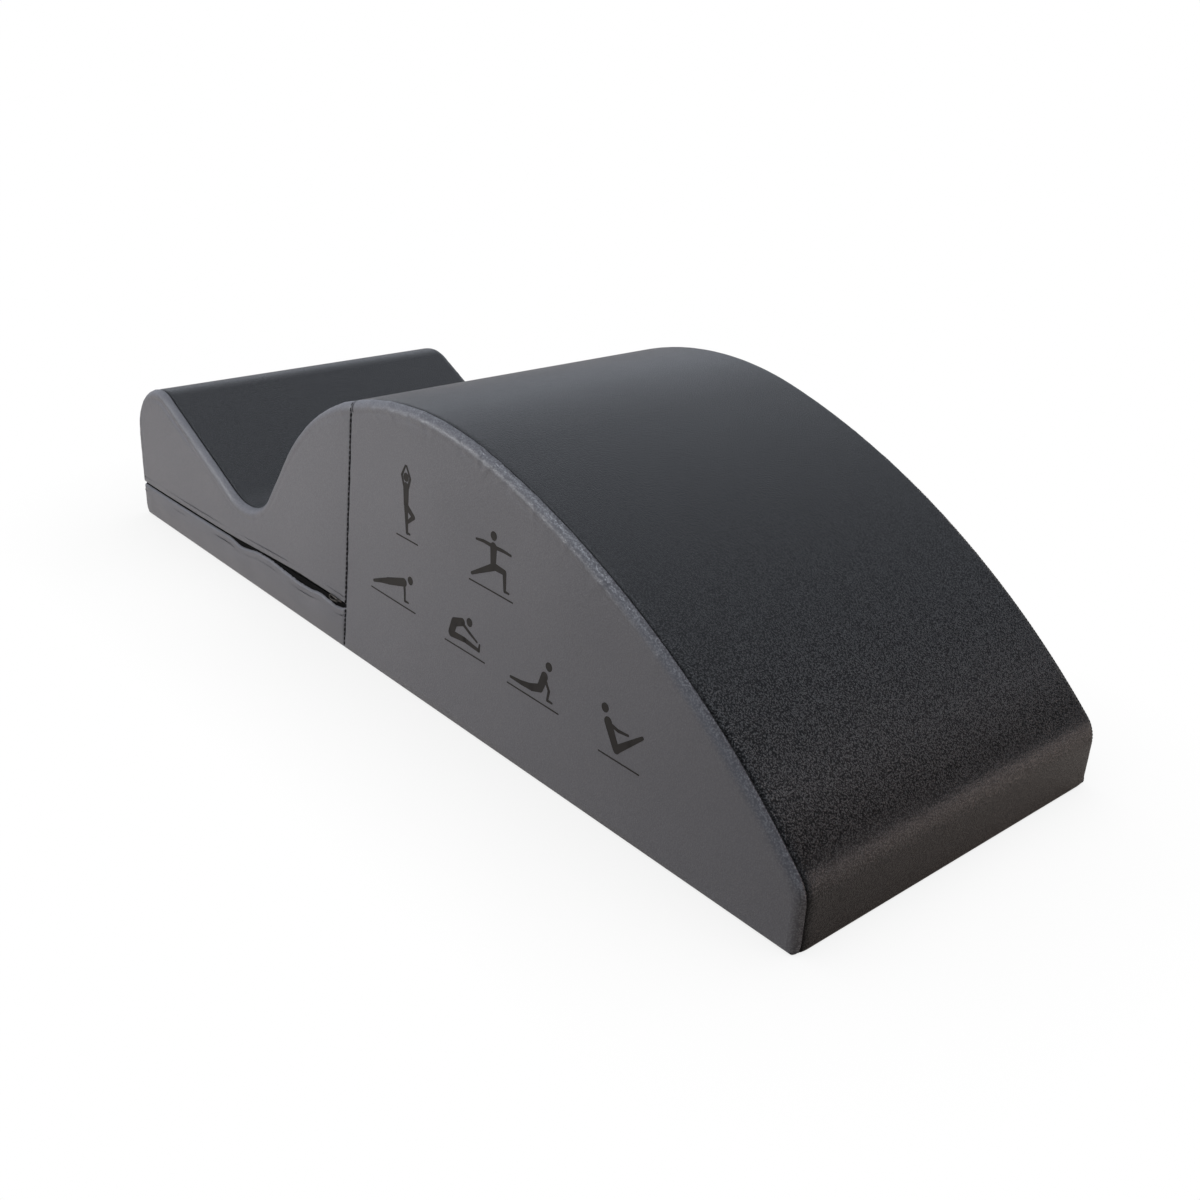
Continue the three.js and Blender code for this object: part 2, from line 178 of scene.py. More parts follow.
@dataclass(frozen=True)
class Finish:
    """A procedural finish: its texture mixes two colours, shifts the gloss and raises relief.

    A finish with sparkle is a grained cloth. It takes its grain's depth and the painted shade of
    its seams from the values at each point.
    """

    name: str
    texture: Texture
    colours: tuple[str, str]
    roughness: tuple[float, float]
    scale_mm: float
    relief_mm: float = 0.0
    metallic: float = 0.0
    specular: float = 0.5
    sparkle: float = 0.0

    WEAR_PER_M = 9.0
    # Height of the grain from its pits to its tops, and the gloss that each adds
    GRAIN_HEIGHT = (-0.02, 0.5)
    GLINT = (-0.55, 2.0)

    def pattern(self, tree: Tree, place: Socket) -> tuple[Socket, Socket]:
        """Draws the texture.

        Args:
            tree: The material's tree.
            place: Object coordinates.

        Returns:
            The mix of the two colours, and the height.
        """
        scale, at = 1 / (self.scale_mm * MM), {"Vector": place}
        match self.texture:
            case Texture.CLOUDS:
                clouds = add_node(tree, "TexNoise", {"Scale": scale, "Detail": 3.0}, at)
                drawn = clouds.outputs["Fac"]
            case Texture.CELLS:
                drawn = add_node(tree, "TexVoronoi", {"Scale": scale}, at).outputs["Distance"]
            case Texture.PLIES:
                bands = {"Scale": scale, "bands_direction": "DIAGONAL"}
                drawn = add_node(tree, "TexWave", bands, at).outputs["Fac"]
            case Texture.WEAVE:
                ribs = {}
                for index, way in enumerate(("X", "DIAGONAL")):
                    bands = {"Scale": scale / 2, "bands_direction": way}
                    ribs[index] = add_node(tree, "TexWave", bands, at).outputs["Fac"]
                drawn = add_node(tree, "Math", {"operation": "MULTIPLY"}, ribs).outputs[0]
            case Texture.PEBBLES:
                cells = {"Scale": scale, "feature": "SMOOTH_F1"}
                grit = {"Scale": 2.2 * scale, "Detail": 2.0, "Roughness": 0.6}
                pebbles = add_node(tree, "TexVoronoi", cells, at).outputs["Distance"]
                fine = add_node(tree, "TexNoise", grit, at).outputs["Fac"]
                wear = add_node(tree, "TexNoise", {"Scale": self.WEAR_PER_M, "Detail": 3.0}, at)
                less = {"operation": "MULTIPLY_ADD", 1: -1.0}
                height = add_node(tree, "Math", less, {0: pebbles, 2: fine})
                return wear.outputs["Fac"], height.outputs[0]
        return drawn, drawn

    def glints(self, tree: Tree, height: Socket, colour: Socket) -> dict[str, bpy.types.Node]:
        """Lets the grain's tops glint where it is deep, and darkens colour and gloss by painted
        seam shade.

        Args:
            tree: The material's tree.
            height: The grain's height.
            colour: The cloth's colour.

        Returns:
            What feeds the shader's gloss and colour.
        """
        grain, shade = (
            add_node(tree, "Attribute", {"attribute_name": name}).outputs["Fac"]
            for name in (GRAIN_DEPTH, PAINTED_SEAM_SHADE)
        )
        ends = dict(zip(("From Min", "From Max"), self.GRAIN_HEIGHT))
        ends |= {"To Min": self.GLINT[0] * self.sparkle, "To Max": self.GLINT[1] * self.sparkle}
        glint = add_node(tree, "MapRange", ends, {"Value": height})
        more, times = {"operation": "MULTIPLY_ADD", 2: self.specular}, {"operation": "MULTIPLY"}
        level = add_node(tree, "Math", more, {0: glint, 1: grain})
        # Painted shade: the seam shade darkens both the colour and the gloss
        lit = add_node(tree, "Math", {"operation": "SUBTRACT", 0: 1.0}, {1: shade})
        level = add_node(tree, "Math", times, {0: level, 1: lit})
        tone = add_node(tree, "VectorMath", {"operation": "SCALE"}, {0: colour, "Scale": lit})
        return {"Specular IOR Level": level, "Base Color": tone}

    def make(self) -> bpy.types.Material:
        """Builds the material.

        Returns:
            The material.
        """
        material = bpy.data.materials.new(self.name)
        tree = bare_tree(material)
        mix, height = self.pattern(tree, add_node(tree, "TexCoord").outputs["Object"])
        first, second = (srgb(code) for code in self.colours)
        tone = add_node(tree, "Mix", {"data_type": "RGBA", 6: first, 7: second}, {0: mix})
        ends = dict(zip(("To Min", "To Max"), self.roughness))
        gloss = add_node(tree, "MapRange", ends, {"Value": mix})
        links = {"Base Color": tone.outputs[2], "Roughness": gloss}
        if self.relief_mm:
            relief = {"Distance": self.relief_mm * MM}
            links["Normal"] = add_node(tree, "Bump", relief, {"Height": height})
        if self.sparkle:
            links |= self.glints(tree, height, tone.outputs[2])
        settings = {"Metallic": self.metallic, "Specular IOR Level": self.specular}
        shader = add_node(tree, "BsdfPrincipled", settings, links)
        add_node(tree, "OutputMaterial", links={"Surface": shader})
        return material


FINISHES = (
    # Near black, so that what shows is the sheen of the room in its grain
    Finish(
        "black_coated_leather", Texture.PEBBLES, ("0b0c0e", "101114"), (0.27, 0.36), 1.15, 0.3,
        specular=0.35, sparkle=0.5,
    ),
    # Mid grey with a finer, flatter grain, for a satin look
    Finish(
        "grey_coated_leather", Texture.PEBBLES, ("5f6066", "67676c"), (0.38, 0.46), 1.2, 0.12,
        sparkle=0.7,
    ),
    # Coarse ribs that keep the base from sliding
    Finish("black_grip_cloth", Texture.WEAVE, ("101112", "1f2023"), (0.9, 0.9), 1.2, 0.3),
    # Nearly black, so that the stitches read as dark dashes
    Finish("polyester_thread", Texture.PLIES, ("0c0c0d", "1a1a1c"), (0.6, 0.7), 1.1),
    # The side panels' grey, so that the topstitches hardly show
    Finish("grey_polyester_thread", Texture.PLIES, ("56575c", "6b6c71"), (0.6, 0.7), 1.1),
    # Black tape, made deeper black than its own colour as painted shade, so that the slit reads as
    # a shaded gap
    Finish(
        "woven_zip_tape", Texture.WEAVE, ("030303", "060606"), (0.9, 0.9), 0.7, 0.15, specular=0.1
    ),
    # Smooth black plastic with a slightly cloudy gloss
    Finish("nylon_zip_coil", Texture.CLOUDS, ("0a0a0b", "0f0f10"), (0.3, 0.45), 2.5),
    # Dark plating that glints, with duller patches from handling
    Finish(
        "gunmetal_plated_zinc", Texture.CLOUDS, ("5d5b57", "3f3d3a"), (0.2, 0.45), 1.5,
        metallic=1.0,
    ),
    # Dark and light foam, told apart by their cells
    Finish("firm_closed_cell_foam", Texture.CELLS, ("1f2023", "2f3135"), (0.95, 0.95), 1.6, 0.3),
    Finish("soft_closed_cell_foam", Texture.CELLS, ("6d6f73", "8b8d90"), (0.95, 0.95), 1.2, 0.3),
    # Brownish black ink that lets flecks of the cloth through
    Finish(
        "screen_printed_ink", Texture.CLOUDS, ("1c1917", "2a2725"), (0.65, 0.8), 2.4, specular=0.3
    ),
)


# Mesh helpers


def select_only(obj: Piece | None = None) -> None:
    """Leaves edit mode and selects one object, or nothing.

    Args:
        obj: The object.
    """
    if bpy.context.object and bpy.context.object.mode != "OBJECT":
        bpy.ops.object.mode_set(mode="OBJECT")
    bpy.ops.object.select_all(action="DESELECT")
    if obj:
        obj.select_set(True)
        bpy.context.view_layer.objects.active = obj


def add_object(name: str, data: bpy.types.ID) -> Piece:
    """Adds an object to the scene.

    Args:
        name: Its name.
        data: What it shows.

    Returns:
        The object.
    """
    obj = bpy.data.objects.new(name, data)
    bpy.context.scene.collection.objects.link(obj)
    return obj


def add_mesh(name: str, shape: Shape) -> Piece:
    """Adds a mesh.

    Args:
        name: Its name.
        shape: Its points, in millimetres, and faces.

    Returns:
        The object.
    """
    mesh = bpy.data.meshes.new(name)
    mesh.from_pydata((shape[0] * MM).tolist(), [], shape[1])
    return add_object(name, mesh)


def edit(obj: Piece, *steps: Callable[[], object]) -> None:
    """Runs edit-mode steps on the whole of one object.

    Args:
        obj: The object to edit.
        *steps: Calls to run with all of its mesh selected.
    """
    select_only(obj)
    bpy.ops.object.mode_set(mode="EDIT")
    for step in steps:
        bpy.ops.mesh.select_all(action="SELECT")
        step()
    select_only()


def join(name: str, objects: Sequence[Piece]) -> Piece:
    """Joins objects into one.

    Args:
        name: The name of the joined piece.
        objects: The objects; the first one stays.

    Returns:
        The joined piece.
    """
    select_only(objects[0])
    for obj in objects:
        obj.select_set(True)
    bpy.ops.object.join()
    objects[0].name = objects[0].data.name = name
    return objects[0]


def points_of(obj: Piece) -> Array:
    """Reads a mesh's points.

    Args:
        obj: The object.

    Returns:
        The points in metres, one row each.
    """
    flat = np.empty(len(obj.data.vertices) * 3)
    obj.data.vertices.foreach_get("co", flat)
    return flat.reshape(-1, 3)


def paint(obj: Piece, material: bpy.types.Material, smooth: float = 0.0) -> Piece:
    """Gives a piece its one material, and shades it smooth below an angle.

    Args:
        obj: The piece.
        material: Its finish.
        smooth: The sharpest smooth edge, in degrees, or nothing for flat faces.

    Returns:
        The same piece.
    """
    obj.data.materials.clear()
    obj.data.materials.append(material)
    if smooth:
        select_only(obj)
        bpy.ops.object.shade_smooth_by_angle(angle=math.radians(smooth))
    return obj


def mount(
    obj: Piece, slot: str, *nodes: str, body: str = BODY, fill: float | None = None
) -> None:
    """Makes a piece ride on a body and stand for its CAD nodes.

    Args:
        obj: The piece.
        slot: A material slot's name. It is not used.
        *nodes: The CAD nodes that it replaces.
        body: The CAD body that carries it.
        fill: How full a padded piece is, or nothing for a hard one. It is not used.
    """
    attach(obj, body)
    if nodes:
        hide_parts(*nodes)
    LOG.info("%s: %d faces", obj.name, len(obj.data.polygons))


def rounded_copy(node: str, name: str, bevel_mm: float, material: bpy.types.Material) -> Piece:
    """Copies a CAD node's mesh, merges it and breaks its sharp edges.

    Args:
        node: The CAD node.
        name: The copy's name.
        bevel_mm: How wide the broken edges are.
        material: The finish.

    Returns:
        The copy.
    """
    obj = add_object(name, bpy.data.objects[node].data.copy())
    edit(
        obj,
        lambda: bpy.ops.mesh.remove_doubles(threshold=CAD_WELD_MM * MM),
        lambda: bpy.ops.mesh.dissolve_limited(angle_limit=math.radians(FLAT_ANGLE)),
    )
    bevel = obj.modifiers.new("broken edges", "BEVEL")
    bevel.width, bevel.segments = bevel_mm * MM, 2
    bevel.limit_method, bevel.angle_limit = "ANGLE", math.radians(SHARP_ANGLE)
    select_only(obj)
    bpy.ops.object.modifier_apply(modifier=bevel.name)
    return paint(obj, material, SMOOTH_BLOCK)


def cloth_blank(name: str, points: Array) -> Piece:
    """Lays a flat grid of cloth and wraps it to given places.

    Args:
        name: The object's name.
        points: Places in millimetres, as columns by rows by three, or by five with their tags.

    Returns:
        The wrapped cloth, open at its edges.
    """
    last = np.array(points.shape[:2]) - 1
    select_only()
    bpy.ops.mesh.primitive_grid_add(x_subdivisions=last[0], y_subdivisions=last[1], size=1)
    obj = bpy.context.object
    obj.name = obj.data.name = name
    index = np.rint((points_of(obj)[:, :2] + 0.5) * last).astype(int)
    wrapped = points[tuple(index.T)]
    obj.data.vertices.foreach_set("co", (wrapped[:, :3] * MM).ravel())
    for tag, values in zip((PAINTED_SEAM_SHADE, GRAIN_DEPTH), wrapped[:, 3:].T):
        layer = obj.data.attributes.new(tag, "FLOAT", "POINT")
        layer.data.foreach_set("value", values.copy())
    obj.data.update()
    return obj


def finish_shell(obj: Piece, material: bpy.types.Material) -> Piece:
    """Closes a wrapped shell: merges its seams, caps its ends and turns its faces out.

    Args:
        obj: The shell.
        material: Its finish.

    Returns:
        The same object.
    """
    edit(
        obj,
        lambda: bpy.ops.mesh.remove_doubles(threshold=SHELL_WELD_MM * MM),
        lambda: bpy.ops.mesh.dissolve_degenerate(threshold=SHELL_WELD_MM * MM),
        lambda: bpy.ops.mesh.fill_holes(sides=0),
        lambda: bpy.ops.mesh.normals_make_consistent(inside=False),
    )
    return paint(obj, material, SMOOTH_SHELL)


def bar_mesh(length: float, radius: float) -> Shape:
    """Models one short six-sided bar with drawn-in ends, about its own middle.

    Args:
        length: Its length along x.
        radius: Its radius.

    Returns:
        Its points and faces.
    """
    select_only()
    bpy.ops.mesh.primitive_cylinder_add(
        vertices=6, radius=radius, depth=length * BAR_SHARE, rotation=(0, RIGHT, 0)
    )
    obj = bpy.context.object
    bpy.ops.object.transform_apply(location=True, rotation=True, scale=True)

    def draw_in() -> None:
        """Extrudes both end faces and makes them smaller."""
        bpy.ops.mesh.select_all(action="DESELECT")
        bpy.ops.object.mode_set(mode="OBJECT")
        for face in obj.data.polygons:
            face.select = abs(face.normal.x) > 0.9
        bpy.ops.object.mode_set(mode="EDIT")
        bpy.ops.mesh.extrude_faces_move()
        bpy.ops.transform.resize(value=BAR_END)

    edit(obj, draw_in)
    shape = points_of(obj), [list(face.vertices) for face in obj.data.polygons]
    bpy.data.objects.remove(obj, do_unlink=True)
    return shape


def copies_along(
    name: str, shape: Shape, middles: Array, along: Array, out: Array, material: bpy.types.Material
) -> Piece:
    """Sets copies of a small shape along a line, as one mesh.

    Args:
        name: The piece's name.
        shape: The shape, with x along the line and z out of the surface.
        middles: The copies' places, in millimetres.
        along: The line's way at each place.
        out: The surface's way out at each place.
        material: The finish.

    Returns:
        The piece.
    """
    points, faces = shape
    x = along / np.linalg.norm(along, axis=1, keepdims=True)
    y = np.cross(out, x)
    y /= np.linalg.norm(y, axis=1, keepdims=True)
    axes = np.stack([x, y, np.cross(x, y)], axis=1)
    places = (middles[:, None] + points @ axes).reshape(-1, 3)
    starts = range(0, len(places), len(points))
    copied = [[start + i for i in face] for start in starts for face in faces]
    return paint(add_mesh(name, (places, copied)), material, SMOOTH_BAR)


# Forms


def stacked(*parts: Values) -> Array:
    """Puts coordinates together along a last axis."""
    return np.stack(np.broadcast_arrays(*parts), axis=-1)


def tagged(points: Array, shade: Values = 0.0, grain: Values = 0.0) -> Array:
    """Adds each point's painted seam shade and grain depth, both up to one, to its place."""
    tags = [np.broadcast_to(tag, points.shape[:-1])[..., None] for tag in (shade, grain)]
    return np.concatenate([points, *tags], axis=-1)


def ramp(value: Array, start: float, end: float) -> Array:
    """Rises evenly from none at the start to one at the end, with no change beyond them."""
    return np.clip((value - start) / (end - start), 0, 1)


def eased(share: Array) -> Array:
    """Softens both ends of a rise from none to one."""
    return 3 * share**2 - 2 * share**3


def runs_along(line: Array) -> Array:
    """Measures how far each point of a line lies from its start."""
    return np.concatenate([[0.0], np.cumsum(np.linalg.norm(np.diff(line, axis=0), axis=1))])


def spread(total: Array, early: Sequence[float], late: int) -> Array:
    """Distances that start finely and go on evenly to a total.

    Args:
        total: The whole distance of each column.
        early: The first distances where there is room.
        late: How many even steps follow.

    Returns:
        Distances, as columns by rows, from the first early one to the total.
    """
    first = np.asarray(early)
    start = first * np.minimum(1.0, total / (2 * first[-1]))[:, None]
    steps = np.linspace(0, 1, late + 1)[1:]
    return np.hstack([start, start[:, -1:] + (total[:, None] - start[:, -1:]) * steps])


@dataclass(frozen=True)
class Bump:
    """A rise or dip by the distance from a line: its height, width, middle and steepness."""

    height: float
    width: float
    middle: float = 0.0
    power: float = 2.0

    def __call__(self, gap: Array) -> Array:
        """Its height at distances from the line."""
        return self.height * np.exp(-(np.abs((gap - self.middle) / self.width) ** self.power))


@dataclass(frozen=True)
class Ripple:
    """Sine waves of given lengths along a line, with seeded phases and drifting strength."""

    seed: int
    lengths: tuple[float, ...]
    swing: float = 1.0
    middle: float = 0.0

    # The least strength, what is added to it, and how much longer its own waves are
    STRENGTH = (0.6, 0.4, 3.7)
    # How far the phase sways, and over which length
    SWAY = (0.8, 90.0)

    def __call__(self, run: Array, shift: int = 0) -> Array:
        """Adds up the waves.

        Args:
            run: Where along the line, in millimetres.
            shift: What is added to the seed, so that the two sides differ.

        Returns:
            Values about the middle that mostly stay within the swing.
        """
        rng = np.random.default_rng(self.seed + shift)
        total = np.zeros_like(run, dtype=float)
        least, more, longer = self.STRENGTH
        for length in self.lengths:
            phase, drift, slow = rng.uniform(0, 2 * math.pi, 3)
            strength = least + more * np.sin(run / (length * longer) + slow)
            sway = self.SWAY[0] * np.sin(run / self.SWAY[1] + drift)
            total += strength * np.sin(2 * math.pi * run / length + phase + sway)
        return self.middle + self.swing * (total / math.sqrt(len(self.lengths)))


@dataclass(frozen=True)
class Unevenness:
    """Soft noise over a face, as the sum of a few slanted waves of a mean length."""

    seed: int
    length: float
    height: float

    WAVES = 7
    LENGTHS = (0.6, 1.6)
    HIGHEST = 4.0

    def __call__(self, x: Array, z: Array, shift: int = 0) -> Array:
        """Adds up the waves.

        Args:
            x: Places along the face, in millimetres.
            z: Places up the face, in millimetres.
            shift: What is added to the seed, so that the two sides differ.

        Returns:
            Values that mostly stay within the height.
        """
        rng = np.random.default_rng(self.seed + shift)
        total = np.zeros_like(x, dtype=float)
        for _ in range(self.WAVES):
            turn, phase = rng.uniform(0, 2 * math.pi, 2)
            size = self.length * rng.uniform(*self.LENGTHS)
            total += np.sin(2 * math.pi * (x * math.cos(turn) + z * math.sin(turn)) / size + phase)
        return self.height * (total / self.HIGHEST)


@dataclass(frozen=True)
class BodySizes:
    """Driving sizes of the padded body, in millimetres.

    They are the CAD's, but for the foot end: it is higher and bent more tightly, as the
    photograph shows it.
    """

    length: float = 950.0
    width: float = 350.0
    crest_height: float = 250.0
    crest_from_rear: float = 530.0
    edge_radius: float = 8.0
    base_corner_radius: float = 12.0
    base_edge_share: float = 0.3
    hump_height: float = 148.5
    hump_rear_radius: float = 58.0
    hump_front_radius: float = 31.4
    valley_from_rear: float = 228.7
    valley_height: float = 78.0
    valley_radius: float = 62.0
    rise_length: float = 58.0
    rise_turn_share: float = 0.911
    shoulder_turn_share: float = 0.36
    crest_front_radius: float = 332.0
    crest_front_turn: float = math.radians(13.2)
    foot_x: float = 472.3
    foot_radius: float = 30.0
    foot_height: float = 37.0
    foot_corner_radius: float = 4.0
    foot_bend_x: float = 380.0
    seam_top_x: float = -42.0
    seam_base_x: float = -66.0
    slit_rear_height: float = 35.6
    slit_seam_height: float = 44.8

    @property
    def half_length(self) -> float:
        """Half the body's length."""
        return self.length / 2

    @property
    def half_width(self) -> float:
        """Half the body's width."""
        return self.width / 2

    @property
    def seam_y(self) -> float:
        """How far the long seams lie from the middle."""
        return self.half_width - self.edge_radius

    @property
    def rear_seam_x(self) -> float:
        """x of the base's rear cross seam."""
        return self.base_corner_radius - self.half_length

    @property
    def foot_seam_x(self) -> float:
        """x of the base's foot cross seam."""
        return self.foot_x - self.foot_corner_radius

    @property
    def base_fall(self) -> float:
        """How high the rounding of the base edge is."""
        return self.edge_radius * self.base_edge_share

    def seam_x(self, z: Values) -> Values:
        """The upright seam's x at a height."""
        return self.seam_base_x + (self.seam_top_x - self.seam_base_x) * z / self.crest_height

    def slit_z(self, x: Values) -> Values:
        """The height of the slit's middle line."""
        ends = (-self.half_length, float(self.seam_x(self.slit_seam_height)))
        return np.interp(x, ends, (self.slit_rear_height, self.slit_seam_height))


class SideOutline:
    """The side outline as a chain of arcs, looked up by the run along it.

    The run starts at the rear base seam, goes up the rear end and over the top, and ends at the
    foot's base seam.
    """

    # How far apart the points are, and when two are one
    ARC_STEP = 0.5
    SAME = 1e-6
    # How many places are looked up at once
    BLOCK = 4000

    def __init__(self, sizes: BodySizes) -> None:
        """Lays the chain.

        Args:
            sizes: The body's driving sizes.
        """
        self.sizes = sizes
        table = np.concatenate(self._arcs())
        step = np.diff(runs_along(table[:, :2]), prepend=-1.0)
        self.table = table[step > self.SAME]
        self.runs = runs_along(self.table[:, :2])
        self.length = float(self.runs[-1])

    def _arc(
        self, x: float, z: float, radius: float, start: float, end: float, hollow: bool = False
    ) -> Array:
        """Draws one arc.

        Args:
            x: x of its centre.
            z: Height of its centre.
            radius: Its radius.
            start: The way out of the body at its start, as a turn from straight up to +x.
            end: The same at its end.
            hollow: Whether the body lies outside the arc.

        Returns:
            A table of x, z and the way out.
        """
        steps = max(2, math.ceil(abs(end - start) * radius / self.ARC_STEP))
        turn = np.linspace(start, end, steps + 1)
        out = stacked(np.sin(turn), np.cos(turn))
        return np.hstack([np.array([x, z]) + (-radius if hollow else radius) * out, out])

    def _arcs(self) -> list[Array]:
        """Draws the whole chain.

        Returns:
            The arcs in order, as tables of x, z and the way out.
        """
        s = self.sizes
        rear, low = s.base_corner_radius, s.foot_corner_radius
        valley_x = s.valley_from_rear - s.half_length
        valley_z = s.valley_height + s.valley_radius
        crest_x = s.crest_from_rear - s.half_length

        # The hump and the hollow valley share a tangent
        hump_x = s.hump_rear_radius - s.half_length
        hump_z = s.hump_height - s.hump_front_radius
        along, rise = valley_x - hump_x, valley_z - hump_z
        radii = s.valley_radius + s.hump_front_radius
        slope = math.asin(radii / math.hypot(along, rise)) - math.atan2(rise, along)

        # The radii of the shoulder and the crest close the rise in length and height
        run, rise = crest_x - valley_x, s.crest_height - s.valley_height
        steep = s.rise_turn_share * 2 * math.atan2(rise, run)
        top = s.shoulder_turn_share * steep
        matrix = (
            (math.cos(top) - math.cos(steep), 1 - math.cos(top)),
            (math.sin(steep) - math.sin(top), math.sin(top)),
        )
        up = rise - s.valley_radius * (1 - math.cos(steep)) - s.rise_length * math.sin(steep)
        on = run - s.valley_radius * math.sin(steep) - s.rise_length * math.cos(steep)
        shoulder, crest = np.linalg.solve(matrix, (up, on))
        crest_z = s.crest_height - crest
        shoulder_x = crest_x - (crest - shoulder) * math.sin(top)
        shoulder_z = crest_z + (crest - shoulder) * math.cos(top)

        # The long arc touches the crest's front arc and the foot's bend
        front, front_z = s.crest_front_turn, s.crest_height - s.crest_front_radius
        foot = np.array([s.foot_x - s.foot_radius, s.foot_height])
        out = np.array([math.sin(front), math.cos(front)])
        start = np.array([crest_x, front_z]) + s.crest_front_radius * out
        way = foot - start
        long = (s.foot_radius**2 - way @ way) / (2 * (way @ out + s.foot_radius))
        centre = start - long * out
        foot_turn = math.atan2(*(foot - centre))

        return [
            self._arc(s.rear_seam_x, rear, rear, -2 * RIGHT, -RIGHT),
            self._arc(hump_x, s.hump_height - s.hump_rear_radius, s.hump_rear_radius, -RIGHT, 0),
            self._arc(hump_x, hump_z, s.hump_front_radius, 0, slope),
            self._arc(valley_x, valley_z, s.valley_radius, slope, -steep, hollow=True),
            self._arc(shoulder_x, shoulder_z, shoulder, -steep, -top),
            self._arc(crest_x, crest_z, crest, -top, 0),
            self._arc(crest_x, front_z, s.crest_front_radius, 0, front),
            self._arc(*centre, long, front, foot_turn),
            self._arc(*foot, s.foot_radius, foot_turn, RIGHT),
            self._arc(s.foot_seam_x, low, low, RIGHT, 2 * RIGHT),
        ]

    def at(self, run: Array) -> tuple[Array, ...]:
        """Looks up the outline.

        Args:
            run: Runs along the outline.

        Returns:
            x, z and the way out in x and z, each shaped as the run.
        """
        x, z, nx, nz = (np.interp(run, self.runs, column) for column in self.table.T)
        size = np.hypot(nx, nz)
        return x, z, nx / size, nz / size

    def run_at_rear(self, z: float) -> float:
        """The run at a height on the upright part of the rear end."""
        return RIGHT * self.sizes.base_corner_radius + z - self.sizes.base_corner_radius

    def run_at_top(self, x: float) -> float:
        """Looks up the run at a place over the top of the body.

        Args:
            x: The place.

        Returns:
            The run.
        """
        inside = np.abs(self.table[:, 0]) < self.sizes.foot_x - 1
        inside &= self.table[:, 1] > self.sizes.base_corner_radius
        return float(np.interp(x, self.table[inside, 0], self.runs[inside]))

    def nearest(self, x: Array, z: Array) -> tuple[Array, Array]:
        """Finds the nearest run of the outline for places on the side face.

        Args:
            x: Places along the body.
            z: Heights.

        Returns:
            The nearest runs and the distances to them.
        """
        runs = np.arange(0, self.length, 1.0)
        outline_x, outline_z, _, _ = self.at(runs)
        best, far = np.empty(x.size), np.empty(x.size)
        for start in range(0, x.size, self.BLOCK):
            part = slice(start, start + self.BLOCK)
            off_x = x.ravel()[part, None] - outline_x
            gap = np.hypot(off_x, z.ravel()[part, None] - outline_z)
            best[part], far[part] = runs[gap.argmin(axis=1)], gap.min(axis=1)
        return best.reshape(x.shape), far.reshape(x.shape)


